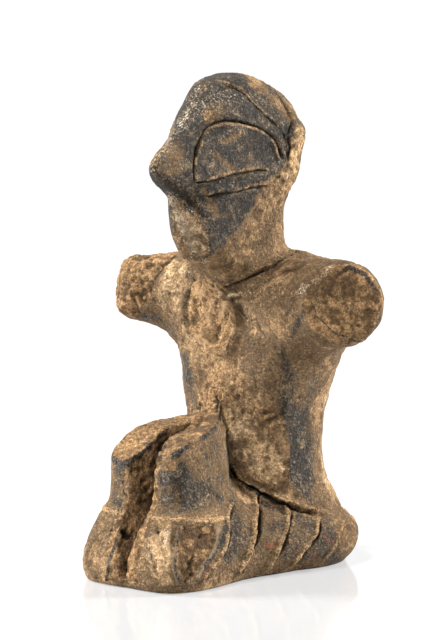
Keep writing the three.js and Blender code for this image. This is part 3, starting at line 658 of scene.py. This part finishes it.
# Charcoal patina, and the worn places where it has gone.
CHARCOAL = table("""
1.1; area; 4; mask
0.56; area; 7; lap
0.7; area; 7; 158,478 166,470 175,470 180,461 187,459 191,470 199,477 206,482 214,490 217,504 206,512 190,516
    170,517 158,513
0.75; area; 6; 110,466 118,462 128,462 133,470 133,498 130,512 116,516 108,510
0.62; area; 10; 276,350 290,352 300,372 300,400 312,420 318,445 316,470 311,492 300,486 290,470 286,440 283,410
    273,395 270,370
0.55; area; 8; 208,416 218,412 222,440 226,470 234,486 226,500 216,488 206,478 206,440
0.78; area; 7; 226,500 238,494 244,520 240,556 226,572 220,548 226,524
0.45; area; 10; 168,440 196,430 208,424 206,450 196,458 176,456 164,464
0.5; area; 14; 240,352 262,356 270,395 264,402 246,398 236,376
1.3; 3 8 8 4; 8; 258,192 244,204 228,226 210,250
1.2; 5 7 6; 9; 246,146 262,152 270,166
1.2; 4 5; 7; 208,172 208,182
1.2; 5 8 8 5; 10; 294,430 297,450 303,470 310,486
0.72; 3 5 6 8 8 9 9 8 4; 10; 283,345 286,370 283,392 290,413 296,438 291,458 294,474 301,486 311,498
0.6; 4 6 6 4; 9; 318,362 312,388 308,410 310,432
0.5; 3; 6; 326,470 322,500
0.8; 3 3.5 3; 4; 302,311 299,323 293,336
0.65; 5 7 7 4; 8; 183,355 187,377 195,398 201,408
0.6; 5; 6; 246,401
0.5; 4; 6; 243,384
0.5; 6; 8; 262,372
0.5; 4 3; 6; 252,344 262,356
0.8; 2 2.4 2 2; 3; 175,255 166,266 159,274 151,288
0.9; 0.8 1.2; 1.5; 131,292 139,311
0.9; 1.5 2 2.5; 3; 124,315 140,314 160,321
0.55; 4; 8; 166,322 176,338
0.35; 6; 9; 177,276
0.3; 5; 8; 179,300
0.85; 8 9; 8; 163,478 165,502
0.95; 2.5 6 9 9; 6; 184,462 187,478 189,492 191,504
0.8; 5; 6; 203,492
0.8; 3; 4; 206,455 207,464
0.7; 3.5 3 5; 5; 206,474 213,486 220,500
0.9; 4 5 3; 4; 196,429 204,430 211,424
0.85; 6 8 8; 6; 118,472 123,482 128,490
0.7; 5 6; 6; 118,506 127,509
0.5; 5; 8; 338,357
0.6; 2 2.5 2; 3; 316,289 311,293 320,281
0.6; 2; 3; 266,300
""")
TAN = table("""
0.75; area; 8; lower mask
0.42; area; 10; 150,168 160,152 172,140 186,146 196,160 196,178 188,188 172,188 158,178
0.68; area; 10; 244,72 262,76 282,96 296,118 292,130 280,116 262,94 246,84
0.8; 6; 7; 243,491 250,503
0.7; 6; 8; 230,574
0.7; 5 7; 8; 350,520 352,545
0.6; 5 6 6; 7; 292,503 305,509 318,512
0.9; 4 5 4; 7; 214,156 222,163 230,168
0.75; 5 6 5; 8; 204,190 212,204 222,214
0.7; 6 7; 9; 156,162 170,168
0.6; 5; 8; 222,142 238,134
0.6; 4 5; 7; 238,174 250,170
0.5; 5 6; 9; 206,118 220,108
0.6; 3 4; 6; 172,152 176,158
0.5; 5; 8; 233,108
0.6; 5 6; 8; 194,212 205,224
0.8; 2.5; 3; 119,486 119,494
0.55; 5 8 8 5; 9; 262,84 276,98 288,116 294,128
0.5; 4; 6; 240,82 262,86
0.5; 4 5 4; 9; 158,166 172,176 184,186
0.5; 4 6; 8; 178,150 186,168
0.6; 6 5; 7; 214,170 226,174
0.5; 5 6; 7; 236,150 250,160
0.5; 4 5; 7; 214,208 226,214
0.55; 4 6; 7; 196,196 206,208
0.6; 5 8; 9; 340,520 346,548
0.6; 3 4 4 3; 6; 222,582 250,578 285,570 320,562
0.5; 3 4; 5; 276,535 268,560
""")
# Pale haze with painted highlights on the lit ridge of the brow and nose, dark rims of the chips, painted shadow
# together with soil, and traces of red.
PALE_AND_HIGHLIGHTS = table("""
0.42; 3 4 3 2.5 2.5 3; 7; 198,90 184,118 176,130 164,147 156,158 153,168
0.27; 10 14 12; 16; 192,104 208,104 230,98
0.62; 4 6 6; 8; 171,198 181,226 192,248
0.6; 1.6; 2; 229,297 240,292
0.35; 6 5; 6; 232,436 244,424
0.5; 3; 4; 168,532 166,546
0.35; 8; 12; 327,400
0.35; 2 3 2; 5; 190,258 186,268 184,282
0.5; 4; 6; 205,262
0.55; 2.5 3; 5; 300,292 330,268
0.5; 3; 5; 250,290
0.375; area; 8; lower mask
""")
RIM = table("""
0.7; 1.8 1.2 1.2 1.2 1; 1.5; 189,293 184,306 184,322 190,338 200,345
0.6; 0.7; 1.2; 225,299 233,308 236.5,326 231,340 227,350
0.6; 2.6; 2.5; 208,331
0.85; 1.5 2.5 2.5 2; 3; 335,277 349,268 365,275 376,290
0.8; 2 3 2.5; 3; 384,308 381,320 375,331
0.85; 1; 1.5; 312,303 318,317 337,334 361,342
0.85; 1.5 1.7 1.7 1.7; 2; 121,524 115,545 109,561 107,581
0.7; 1.3; 2; 131,532 124,545 120,561
0.9; 1.5 1.7 1.7 1.5 1.5; 2; 180,528 179,538 175,552 175,566 179,583
0.8; 2 3 3 2.5; 3; 221,527 217,548 208,564 200,576
0.6; 1.5 2; 3; 172,528 170,545
0.6; 2 3; 4; 147,545 152,560
""")
# Painted shadow under the jaw, beside ledges and in cracks, pits and the neck's lines, with some soil in them.
SHADE_AND_SOIL = table("""
0.62; 2 4 4 2; 8; 246,284 266,273 286,258 296,250
0.6; 1.5 2.5 1.5; 4; 262,292 282,281 300,268
0.6; 1 1.6 1.6 2 2.4 2 1.2; 3; 233,301 237,315 236,327 231,339 228,350 229,359 242,366
0.3; 1.2 1.4 1.2 1.2 1.2 1.2; 2; 190,293 186,303 187,318 189,330 194,340 203,346
0.8; 2.4; 2.5; 194,280
0.4; 2.6; 3; 193,323
0.45; 1.4 1.8; 2.5; 213,335 213,342
0.9; 0.8 1.6 1; 1.5; 216,392 218.5,402 217,412
0.85; 0.7; 1.2; 232,300 245,316 257,323 264,337
0.7; 1.5 1.5 1; 3; 275,276 289,271 301,268
0.7; 1; 2; 270,422 279,419
0.6; 1; 2; 266,414 275,412
0.6; 0.8; 1.5; 313,472 315,482
0.7; 1.6 1.2; 2; 308,440 306,452
0.9; 2.2; 2; 158.5,532
0.8; 1.3; 1.5; 154.5,557
0.6; 2 2.6 2; 3; 193,558 191,566 188,573
0.9; 2.2; 2; 111,530
0.95; 3.2; 3; 122,532 127,537
0.7; 1; 1.5; 98,535 90,549
0.6; 0.8; 1.2; 150,524 164,523 178,523
0.6; 0.8; 1.2; 104,523 118,521 131,523
0.8; 2 2.5 1.5; 2.5; 287,140 289,145 288,158
0.6; 1 1.4 1; 2; 187,201 197,212 208,220
0.6; 3.5; 5; 166,168
0.5; 2; 4; 206,158 204,168
""")
RED = table("""
0.7; 2.4 2; 3; 269,498 271,505
0.7; 2; 3; 278,520
0.85; 2.6 2; 3; 268,545 273,543
0.5; 3 4; 5; 325,534 330,540
0.5; 3 4; 5; 315,553 309,560
0.6; 2.4; 3; 250,569
1; 0.9 1.1; 1.2; 318,285 321,283
0.6; 3 4; 5; 213,566 207,575
0.5; 1.8; 3; 153,529
""")
# Carving, in millimetres above the skin: the chest patch, its ring and knob, hollows, slivers and ledges.
CARVED = table("""
0.7; area; 2; chest
-1; 1.2 2.4 1.2; 2.6; 248,479 262,486 275,494
-0.6; 3 6 6 3; 7; 240,308 245,330 238,350 236,362
-0.5; 1.3; 2.2; 190,292 185.5,303 187,318 189,330 194,340 204,346
-0.4; 1.2 1.6; 3; 214,334 214,342
-0.7; 5; 5; 198,302 197,322
-0.5; 4; 4; 216,318 220,338
-0.6; 0.8; 1.8; 231,300.5 242,296
-1.4; 0.4 1 0.5; 1.8; 216,391 218.5,402 217,412
-0.6; 0.5; 1.6; 232,300 245,316 257,323 264,337
-0.9; 1.2 1.6; 3; 268,420 278,417
-0.5; 0.8; 2; 265,413 276,411
-0.6; 1.2 1; 2; 308,440 306,452
-0.5; 0.6; 1.6; 312,470 315,483
-0.6; 0.9; 2; 254,289 275,277 289,271 303,266
-0.5; 0.7; 2; 262,280 276,270 288,262
-0.5; 1; 2; 197,425 212,405
-0.5; 1.4; 3; 176,256 166,266 158,276 151,288
-0.6; 0.7; 1.6; 131,292 135,300 139,311
-0.6; 1.6; 3; 127,528 121,545 116,562
-1.1; 1.3; 2.2; 158.5,532
-0.9; 1.2 1.8 1.2; 3; 193,558 191,566 188,573
-0.7; 2 3; 4; 203,536 198,548
-0.6; 2; 4; 150,560 156,575
-0.5; 2; 4; 160,545 166,552
-1.1; 1.2; 2.2; 111,530
-1.3; 1.8 2; 2.6; 122,532 127,537
-0.6; 0.7; 1.6; 154.5,557
-1; 1.4 1.8 1; 2.4; 287,140 289,145 288,153
-0.45; 1.2; 3; 187,201 197,212 208,220
-0.9; 1.6; 2.4; 194,280
-0.6; 3; 4; 193,322
0.8; 0.8 1.4 0.8; 2.6; 244,487 258,495 270,501
0.7; 1.4; 2.6; 188,288 182,298 180.5,310 182,322 187,336 196,344 208,346
0.8; 1.6; 2.6; 222,296 231,308 235,326 230,342 226,356
2; 3 3.2; 2.5; 207,330 208,335
0.9; 1.1; 1.8; 229,297 240,292
0.7; 0.8 1.2 0.6; 2; 271,426 280,422 287,423
0.6; 1; 2.4; 179,528 177,545 173,556 174,570 178,584
0.7; 1.6; 3; 170,527 167,545 170,555
0.5; 2; 3; 219,529 215,548 206,565 198,577
0.5; 1.2; 2.6; 121,524 115,545 109,561 107,581
0.3; area; 3; 223,428 241,416 254,424 245,437 235,447
-0.55; area; 3; foot
""")


def terraces(n, steps=2.5):
    """Noise cut into flat shelves with steep edges, as chips leave in a brittle skin."""
    level = (n + 1) * steps
    return (np.floor(level) + ease(0.72, 1.0, level - np.floor(level))) / steps - 1


def crumbs(p, size, seed, octaves=3):
    """Lumps from 0 to 1 with sharp creases between them, as in a broken lump of clay."""
    total = sum(np.abs(noise(p, size / 1.9 ** o, seed + 5 * o)) * 0.6 ** o for o in range(octaves))
    return np.clip(total / (sum(0.6 ** o for o in range(octaves)) * 0.75), 0, 1.2)


def head_part(p):
    """1 on the head, 0 below it."""
    _, y, z = p.T
    return np.maximum(ease(87, 91, z), ease(-15.5, -18, y) * ease(80, 83, z))


def sides(p, normal):
    """Where each point falls in the picture; the head's right half and the back of it borrow the left half's."""
    u, v, _ = picture(p)
    sight = seen(p, normal)
    flip = p * (-1, 1, 1)
    mu, mv, _ = picture(flip)
    echo = seen(flip, normal * (-1, 1, 1))
    own_head = head_part(p) * (p[:, 0] < 0) * (sight < 0.5)
    strength = np.where(own_head > 0.5, 1.0, 0.75 * echo)
    wander = np.where(own_head > 0.5, 1.5, 5.0)
    mu = mu + wander * noise(p, 9, 91)
    mv = mv + wander * noise(p, 9, 92)
    return u, v, sight, mu, mv, strength


def painted(place, rows):
    """Marks on the side in the picture; the other side carries an echo of the same kind."""
    u, v, sight, mu, mv, strength = place
    return marks(u, v, rows) * sight + (1 - sight) * strength * marks(mu, mv, rows)


def skin_left(p, raw, dark, tan):
    """1 where the burnished skin is left, 0 where it has flaked off."""
    bias = 0.05 + 0.85 * dark - 1.5 * raw - 0.5 * tan
    return ease(-0.07, 0.07, bias + 0.6 * noise(p, 15, 61, 2) + 0.42 * noise(p, 4.5, 62, 3))


def raw_places(p, place):
    """Where clay is broken open, and how rough the break is."""
    x, y, z = p.T
    _, _, sight, _, _, strength = place
    hidden = (1 - sight) * (1 - 0.6 * strength) * ease(0.1, 0.6, noise(p, 22, 73, 2))
    arms = (z > ARMS_LOW) & (z < ARMS_HIGH)
    stump = ease(-5, -1, beyond(x, y, z, RIGHT_BREAK)) * (x < -25) * arms
    arm_break = (beyond(x, y, z, LEFT_BREAK) > -0.6) * (x > 22) * arms
    in_slot = (np.abs(x) < 6.4) & (y < -27.5) & (z > 2) & (z < 56)
    on_top = (z > leg_top(x, y) - 1.2) & (y < -15) & (z < 56)
    raw = np.maximum.reduce([painted(place, RAW), 0.6 * hidden, stump, 0.7 * arm_break, 0.9 * in_slot, 0.7 * on_top])
    rough = np.maximum.reduce([painted(place, ROUGH), 0.5 * hidden, 0.9 * stump, 0.3 * in_slot, 0.12 * on_top])
    return np.clip(raw, 0, 1), np.clip(rough, 0, 1), in_slot


def dark_places(p, place):
    """How much charcoal patina there is, and how much of it has worn to tan."""
    _, _, sight, _, _, strength = place
    dark = painted(place, CHARCOAL) * (0.85 + 0.35 * noise(p, 7, 83, 2))
    patches = ease(0.0, 0.5, noise(p, 26, 81, 2) + 0.35 * noise(p, 7, 82, 2))
    dark = np.maximum(dark, (1 - sight) * (1 - strength) * patches * 0.8)
    tan = painted(place, TAN)
    return dark * (1 - tan * (0.9 + 0.3 * noise(p, 3.5, 84, 2))), tan


def relief(p, normal):
    """Height of the worn skin over the form in millimetres, its finer part, the masks that shape it, and where
    each point falls in the picture, with ragged and with calmer edges."""
    place = sides(p, normal)
    u, v, sight, mu, mv, strength = place
    z = p[:, 2]
    push = [3.0 * noise(p, 5.5, 71 + k, 2) + 1.3 * noise(p, 1.5, 66 + k) for k in (0, 1)]
    warped = (u + push[0], v + push[1], sight, mu + push[0], mv + push[1], strength)
    calm = (u + 0.35 * push[0], v + 0.35 * push[1], *warped[2:])
    raw, rough, in_slot = raw_places(p, warped)
    dark, tan = dark_places(p, warped)
    skin_mask = skin_left(p, raw, dark, tan)
    bare = 1 - skin_mask

    # Crumbs and sand on bare clay, flat chips with steep edges, pits, and a fine tooth on the skin
    chips = terraces(np.clip(noise(p, 6.5, 63, 3), -1, 1))
    lumps = crumbs(p, 3.4, 74) - 0.45
    sand = noise(p, 1.25, 75) + 0.5 * (crumbs(p, 2.0, 65, 2) - 0.45)
    small_relief = bare * (0.2 * lumps + 0.1 * sand) + rough * (0.5 * lumps + 0.2 * sand)
    small_relief -= rough * 0.7 * pits(p + 1.2 * noise(p, 2.2, 68)[:, None], 3.6, 77, 0.26)
    small_relief += 0.3 * (skin_mask - 0.5)
    small_relief += 0.28 * chips * np.maximum(bare, 0.35)
    small_relief -= (0.55 * rough + 0.25 * bare) * pits(p + 0.8 * noise(p, 1.8, 70)[:, None], 2.4, 85, 0.3)
    small_relief -= (1 - raw) * 0.4 * pits(p + noise(p, 2.2, 69)[:, None], 5.0, 78, 0.25)
    small_relief += skin_mask * (0.1 * lumps + 0.07 * noise(p * (1, 1, 0.35), 1.4, 64, 2))
    height = small_relief + 0.3 * noise(p, 10, 76, 3)
    height += np.where(in_slot, 0.12 * noise(p, 3.2, 79, 2), 0)

    # Carving on the side in the picture; nothing is raised or sunk where the figure rests
    carved = sum(rise * mark(u + 0.45 * push[0], v + 0.45 * push[1], *shape) for rise, *shape in CARVED) * sight
    height += carved
    small_relief += carved * 0.6
    height = np.where(z < 0.6, 0, height * ease(0.4, 1.6, z))
    return height, small_relief, raw, dark, skin_mask, warped, calm


# The mesh: skin the form, push it out and in by the relief, and thin it to the allowed number of triangles
points, quads = skin(full_figure, LOW, HIGH, GRID_STEP)
normals = vertex_normals(points, quads)
height = relief(points, normals)[0]
points = points + normals * height[:, None]
points[:, 2] = np.where(points[:, 2] < 0.02, 0, points[:, 2])
triangles = np.concatenate([quads[:, [0, 1, 2]], quads[:, [0, 2, 3]]])
fine = bpy.data.meshes.new("figurine_fine")
fine.vertices.add(len(points))
fine.vertices.foreach_set("co", ((points - MIDDLE) * MM).astype(np.float32).ravel())
fine.loops.add(triangles.size)
fine.loops.foreach_set("vertex_index", triangles.astype(np.int32).ravel())
fine.polygons.add(len(triangles))
fine.polygons.foreach_set("loop_start", np.arange(0, triangles.size, 3, dtype=np.int32))
fine.update(calc_edges=True)
fine.validate()
figurine = bpy.data.objects.new("figurine_skin", fine)
bpy.context.scene.collection.objects.link(figurine)
if len(triangles) > MOST_TRIANGLES:
    thin = figurine.modifiers.new("thin", "DECIMATE")
    thin.ratio = MOST_TRIANGLES / len(triangles)
    graph = bpy.context.evaluated_depsgraph_get()
    fine = bpy.data.meshes.new_from_object(figurine.evaluated_get(graph))
    figurine.modifiers.clear()
    figurine.data = fine
fine.polygons.foreach_set("use_smooth", np.ones(len(fine.polygons), bool))
fine.update()

# Masks at the vertices, each a value from 0 to 1 that the material reads
count = len(fine.vertices)
place = np.empty(count * 3, np.float32)
fine.vertices.foreach_get("co", place)
place = place.reshape(-1, 3) / MM + MIDDLE
facing = np.empty(count * 3, np.float32)
fine.vertex_normals.foreach_get("vector", facing)
facing = facing.reshape(-1, 3)
_, small_relief, raw, charcoal, skin_mask, where, calm = relief(place, facing)

# Grooves are painted dark, as shade, by each line's amount; their lips take the tan of turned-up clay.
groove = np.zeros(count, np.float32)
lips = np.zeros(count, np.float32)
for line in lines:
    index, s, run, q = line.near(place)
    if len(index):
        _, g, lip = line.shape(s, run, q)
        groove[index] = np.maximum(groove[index], g * line.soil)
        lips[index] = np.maximum(lips[index], np.maximum(lip * min(line.lip / 0.5, 1.2), g * line.clay))

# The broken tops of the legs have dark edges, and the gap between them is painted darker the deeper and lower in, as
# shade.
x, y, z = place.T
under = leg_top(x, y) - z
edge_band = ease(1.7, 0.6, np.abs(under - 0.8)) * ease(0.85, 0.6, facing[:, 2]) * (np.abs(x) > 4)
top_rim = edge_band * (y < -16) * (0.62 + 0.6 * noise(place, 4, 93, 2))
between = (np.abs(x) < 5.6) & (z > 3) & (y < GAP_BACK)
gap_soil = (0.4 * ease(-54, -44, y) + 0.55 * ease(-46, -35, y)) * between * ease(0.8, 4, under)
sight = where[2]
for name, values in {
    "charcoal": charcoal,
    "raw": raw,
    "skin": skin_mask,
    # Relief height, which the material darkens in the hollows and lightens on the tops as painted shade and
    # highlight.
    "high": 0.5 + small_relief / 1.3,
    # Pale haze, and painted highlights on the lit ridge of the brow and nose.
    "pale_and_highlights": (0.6 + 0.4 * sight) * painted(where, PALE_AND_HIGHLIGHTS),
    # Dusty clay, and painted light on lit faces.
    "light": painted(where, LIT_AND_DUSTY) * (0.5 + 0.5 * sight),
    "red": painted(where, RED),
    "rim": np.maximum(painted(calm, RIM), top_rim),
    # Painted shadow with soil: these marks, the grooves and the gap between the legs.
    "shade_and_soil": np.maximum.reduce([painted(calm, SHADE_AND_SOIL), groove, gap_soil]),
    "lips": lips * (1 - ease(0.45, 0.75, groove)) * (1 - 0.3 * head_part(place)),
}.items():
    layer = fine.attributes.new(name, "FLOAT", "POINT")
    layer.data.foreach_set("value", np.clip(values, 0, 1).astype(np.float32))

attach(figurine, "root")
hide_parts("figurine")


# The clay's material


def linear(*rgb):
    """A colour as seen on a screen, 0 to 255, as the shader's own numbers."""
    return (*(c / 12.92 if c <= 0.04045 else ((c + 0.055) / 1.055) ** 2.4 for c in (n / 255 for n in rgb)), 1)


class Tree:
    """Short ways to add nodes to a tree and link them."""

    def __init__(self, owner):
        owner.use_nodes = True
        self.nodes, self.links = owner.node_tree.nodes, owner.node_tree.links
        self.nodes.clear()

    def node(self, kind, inputs=(), **values):
        made = self.nodes.new("ShaderNode" + kind)
        for key, value in values.items():
            setattr(made, key, value)
        for key, value in dict(inputs).items():
            self.put(made.inputs[key], value)
        return made

    def put(self, socket, value):
        if isinstance(value, bpy.types.NodeSocket):
            self.links.new(value, socket)
        else:
            socket.default_value = value

    def attribute(self, name):
        return self.node("Attribute", attribute_name=name).outputs["Fac"]

    def math(self, operation, *values):
        return self.node("Math", enumerate(values), operation=operation).outputs[0]

    def times(self, a, b):
        return self.math("MULTIPLY", a, b)

    def pushed(self, mask, grain, reach):
        """The mask with a noise added round its middle."""
        return self.math("MULTIPLY_ADD", self.math("SUBTRACT", grain, 0.5), reach, mask)

    def torn(self, mask, grain, width, reach):
        """The mask with a torn edge: the grain decides where its soft border falls."""
        return self.ranged(self.pushed(mask, grain, reach), 0.5 - width, 0.5 + width)

    def noise(self, vector, scale, detail=3.0, rough=0.55):
        inputs = {"Vector": vector, "Scale": scale, "Detail": detail, "Roughness": rough}
        return self.node("TexNoise", inputs).outputs["Fac"]

    def ranged(self, value, a, b, low=0.0, high=1.0, how="SMOOTHSTEP"):
        inputs = {"Value": value, "From Min": a, "From Max": b, "To Min": low, "To Max": high}
        return self.node("MapRange", inputs, interpolation_type=how).outputs["Result"]

    def mix(self, factor, a, b, how="MIX"):
        return self.node("Mix", {0: factor, 6: a, 7: b}, data_type="RGBA", blend_type=how).outputs[2]

    def three(self, n, dark, middling, light):
        """Dark to middling to light as the noise rises."""
        low = self.mix(self.ranged(n, 0.34, 0.5), linear(*dark), linear(*middling))
        return self.mix(self.ranged(n, 0.5, 0.66), low, linear(*light))


clay = bpy.data.materials.new("fired_clay")
t = Tree(clay)
coordinates = t.node("TexCoord").outputs["Object"]
mm = t.node("VectorMath", {0: coordinates, "Scale": 1000}, operation="SCALE").outputs[0]
stretch = t.node("Mapping", {"Vector": mm, "Rotation": (0.5, 0.25, 0.6), "Scale": (0.3, 2.2, 0.5)})
broad = t.noise(mm, 0.09, 3)
middle = t.noise(mm, 0.42, 4, 0.65)
clods = t.noise(mm, 0.7, 5, 0.75)
small = t.noise(mm, 1.0, 4, 0.68)
grain = t.noise(mm, 1.6, 3, 0.72)
streak = t.noise(stretch.outputs[0], 0.8, 3, 0.6)
edge = t.math("ADD", t.times(small, 0.5), t.times(middle, 0.5))
mottle = t.math("MULTIPLY_ADD", middle, 0.35, t.math("MULTIPLY_ADD", small, 0.3, t.times(grain, 0.35)))
raw_m, charcoal_m, pale_and_highlights_m, skin_m, rim_m, shade_and_soil_m, red_m, lips_m, high_m, lit_and_dusty_m = map(
    t.attribute, ("raw", "charcoal", "pale_and_highlights", "skin", "rim", "shade_and_soil", "red", "lips", "high", "light"))

# Bare clay, raw breaks, the thin brown skin over them, dust with painted light, and stains.
colour = t.mix(t.ranged(raw_m, 0.3, 0.8), t.three(mottle, (92, 71, 47), (143, 114, 81), (184, 152, 113)),
               t.three(mottle, (100, 75, 48), (148, 115, 78), (188, 152, 110)))
skin_edge = t.pushed(skin_m, small, 0.9)
colour = t.mix(t.ranged(skin_edge, 0.35, 0.6), colour,
               t.three(mottle, (58, 46, 33), (102, 81, 57), (146, 118, 85)))
# Lighter where dust lies and where light is painted on lit faces.
colour = t.mix(t.times(t.torn(lit_and_dusty_m, edge, 0.22, 1.0), 0.85), colour,
               t.three(mottle, (156, 124, 88), (196, 162, 120), (222, 193, 154)))
stain = t.ranged(t.noise(mm, 0.16, 5, 0.7), 0.45, 0.66)
colour = t.mix(t.times(stain, t.ranged(raw_m, 0.2, 0.8, 0.5, 0.22)), colour, linear(78, 60, 41))

# Charcoal patina, worn through in specks and strewn with light flecks that are partly specks in it and partly
# painted glints of its sheen.
worn = t.ranged(t.noise(mm, 0.3, 5, 0.8), 0.535, 0.6)
patina = t.mix(t.times(worn, 0.8), t.three(mottle, (9, 7, 6), (26, 22, 17), (80, 69, 54)),
               t.three(small, (60, 48, 32), (96, 78, 54), (136, 112, 80)))
patina = t.mix(1.0, patina, t.ranged(middle, 0.4, 0.6, 0.5, 1.3), "MULTIPLY")
patina = t.mix(1.0, patina, t.ranged(charcoal_m, 0.72, 1.0, 1.1, 0.62), "MULTIPLY")
patina_m = t.times(t.torn(charcoal_m, edge, 0.12, 1.7), t.ranged(skin_edge, 0.2, 0.55, 0.3, 1.0))
colour = t.mix(t.times(patina_m, 0.94), colour, patina)
# Light flecks, partly painted glints of the burnished patina's sheen.
flecks_and_glints = t.times(t.ranged(t.noise(mm, 1.4, 3, 0.8), 0.52, 0.64), t.ranged(middle, 0.42, 0.6, 0.15, 0.9))
flecks_and_glints = t.times(flecks_and_glints, t.times(patina_m, t.ranged(charcoal_m, 0.8, 1.0, 0.6, 0.25)))
colour = t.mix(flecks_and_glints, colour, linear(150, 137, 117))

# Haze with painted highlights, dark rims, traces of red and the turned-up clay of the scored lines.
rim_colour = t.mix(t.ranged(grain, 0.4, 0.62), linear(26, 26, 26), linear(80, 77, 72))
lip_colour = t.mix(t.ranged(grain, 0.36, 0.6), linear(104, 80, 53), linear(168, 136, 98))
for mask, tear, width, reach, strength, over in (
    (pale_and_highlights_m, grain, 0.2, 2.4, 0.7, linear(190, 174, 150)),
    (rim_m, small, 0.2, 0.9, 0.88, rim_colour),
    (red_m, small, 0.25, 1.6, 0.55, linear(140, 76, 55)),
    (lips_m, small, 0.25, 0.6, 0.85, lip_colour),
):
    colour = t.mix(t.times(t.torn(mask, tear, width, reach), strength), colour, over)

# Grain, painted shade in the hollows and painted highlight with wear on what stands up, and painted shadow with soil
# in grooves and cracks.
colour = t.mix(1.0, colour, t.ranged(broad, 0.3, 0.7, 0.78, 1.18), "MULTIPLY")
colour = t.mix(1.0, colour, t.ranged(grain, 0.36, 0.64, 0.7, 1.24), "MULTIPLY")
# Painted shade in the hollows of the raw clay's crumbs and painted light on their tops, from the noise that also
# bumps them.
colour = t.mix(t.ranged(raw_m, 0, 0.8, 0.5, 1.0), colour, t.ranged(clods, 0.38, 0.58, 0.48, 1.18), "MULTIPLY")
# Painted shade: darker where the relief sinks.
colour = t.mix(t.ranged(high_m, 0.48, 0.15, 0.0, 0.75), colour, linear(62, 46, 30))
# Lighter on what stands up, mostly off the patina: painted highlight together with wear.
wear_and_highlight = t.times(t.ranged(high_m, 0.6, 0.95, 0.0, 0.45), t.ranged(patina_m, 0, 1, 1, 0.25))
colour = t.mix(wear_and_highlight, colour, linear(190, 159, 120))
# Painted shadow, with soil, in grooves, cracks, pits and the gap between the legs.
colour = t.mix(t.ranged(t.pushed(shade_and_soil_m, small, 1.0), 0.35, 0.95), colour, linear(26, 20, 14))

# The patina is smoother; raw clay is crumbly and pitted.
skin_rough, patina_rough = t.ranged(small, 0.3, 0.7, 0.78, 0.95), t.ranged(grain, 0.35, 0.7, 0.42, 0.7)
roughness = t.node("Mix", {0: patina_m, 2: skin_rough, 3: patina_rough}, data_type="FLOAT").outputs[0]
pit = t.node("TexVoronoi", {"Vector": mm, "Scale": 0.8})
hole = t.times(t.ranged(pit.outputs["Distance"], 0.0, 0.36, -1.0, 0.0), t.ranged(raw_m, 0.0, 0.9, 0.12, 1))
crumbly = t.times(clods, t.ranged(raw_m, 0, 1, 0.75, 1.35))
skin_height = t.math("ADD", t.math("ADD", crumbly, t.times(grain, 0.2)), t.times(hole, 0.35))
skin_height = t.math("ADD", skin_height, t.times(streak, 0.2))
bump = t.node("Bump", {"Strength": 0.9, "Distance": 0.0024, "Height": skin_height})
shader = t.node("BsdfPrincipled", {
    "Specular IOR Level": 0.14, "Base Color": colour, "Roughness": roughness, "Normal": bump.outputs["Normal"]})
t.node("OutputMaterial", {"Surface": shader.outputs[0]})
fine.materials.clear()
fine.materials.append(clay)

# Floor, light and camera
FLOOR_HALF = 12.0
floor_mesh = bpy.data.meshes.new("floor")
corners = [(a * FLOOR_HALF, b * FLOOR_HALF, 0) for a, b in ((-1, -1), (1, -1), (1, 1), (-1, 1))]
floor_mesh.from_pydata(corners, [], [(0, 1, 2, 3)])
floor = bpy.data.objects.new("floor", floor_mesh)
floor.location.z = -0.00005
bpy.context.scene.collection.objects.link(floor)
white = bpy.data.materials.new("floor_white")
f = Tree(white)
sight_ray = f.node("LightPath").outputs["Is Camera Ray"]
away = f.node("VectorMath", {0: f.node("TexCoord").outputs["Object"]}, operation="LENGTH").outputs["Value"]
matt = f.node("BsdfDiffuse", {"Color": f.mix(sight_ray, (0.32, 0.32, 0.32, 1), (0.1, 0.1, 0.1, 1))})
gloss = f.node("BsdfGlossy", {"Color": (0.3, 0.3, 0.3, 1), "Roughness": 0.1})
bright = f.times(sight_ray, f.ranged(away, 0.2, 0.9, 0.48, 0.78))
glow = f.node("Emission", {"Color": (1, 1, 1, 1), "Strength": bright})
first = f.node("AddShader", {0: matt.outputs[0], 1: gloss.outputs[0]})
second = f.node("AddShader", {0: first.outputs[0], 1: glow.outputs[0]})
f.node("OutputMaterial", {"Surface": second.outputs[0]})
floor_mesh.materials.append(white)

world = bpy.data.worlds.new("studio")
bpy.context.scene.world = world
w = Tree(world)
rays = w.node("LightPath")
direct = w.math("MAXIMUM", rays.outputs["Is Camera Ray"], w.times(rays.outputs["Is Glossy Ray"], 0.9))
sky = w.node("Background", {"Color": (1, 1, 1, 1), "Strength": w.ranged(direct, 0, 1, 0.1, 1.0, "LINEAR")})
w.node("OutputWorld", {"Surface": sky.outputs[0]})

LIT_CENTRE = (np.array([0, -17, 78]) - MIDDLE) * MM


def lamp(name, direction, distance, size, power):
    """A soft box on the given side of the camera's view: right, up and towards the camera."""
    d = unit(direction[0] * right + direction[1] * up + direction[2] * back)
    light = bpy.data.lights.new(name, "AREA")
    light.shape = "DISK"
    light.size = size
    light.energy = power
    made = bpy.data.objects.new(name, light)
    made.location = LIT_CENTRE + d * distance
    made.rotation_mode = "QUATERNION"
    made.rotation_quaternion = Vector(-d).to_track_quat("-Z", "Y")
    bpy.context.scene.collection.objects.link(made)


lamp("left", (-0.95, 0.6, -0.12), 0.8, 0.22, 20.0)
lamp("right", (0.95, 0.45, -0.1), 0.8, 0.22, 19.5)
lamp("top", (-0.35, 0.72, 0.62), 0.9, 0.2, 13.0)

camera_data = bpy.data.cameras.new("camera")
camera_data.sensor_width = 36
camera_data.lens = camera_data.sensor_width * SCALE * DISTANCE / TALL
camera_data.clip_start, camera_data.clip_end = 0.05, 40
camera = bpy.data.objects.new("camera", camera_data)
camera.location = (eye - MIDDLE) * MM
camera.rotation_mode = "QUATERNION"
camera.rotation_quaternion = Matrix(np.stack([right, up, back], 1).tolist()).to_quaternion()
bpy.context.scene.collection.objects.link(camera)
bpy.context.scene.camera = camera
bpy.context.scene.view_settings.view_transform = "Standard"
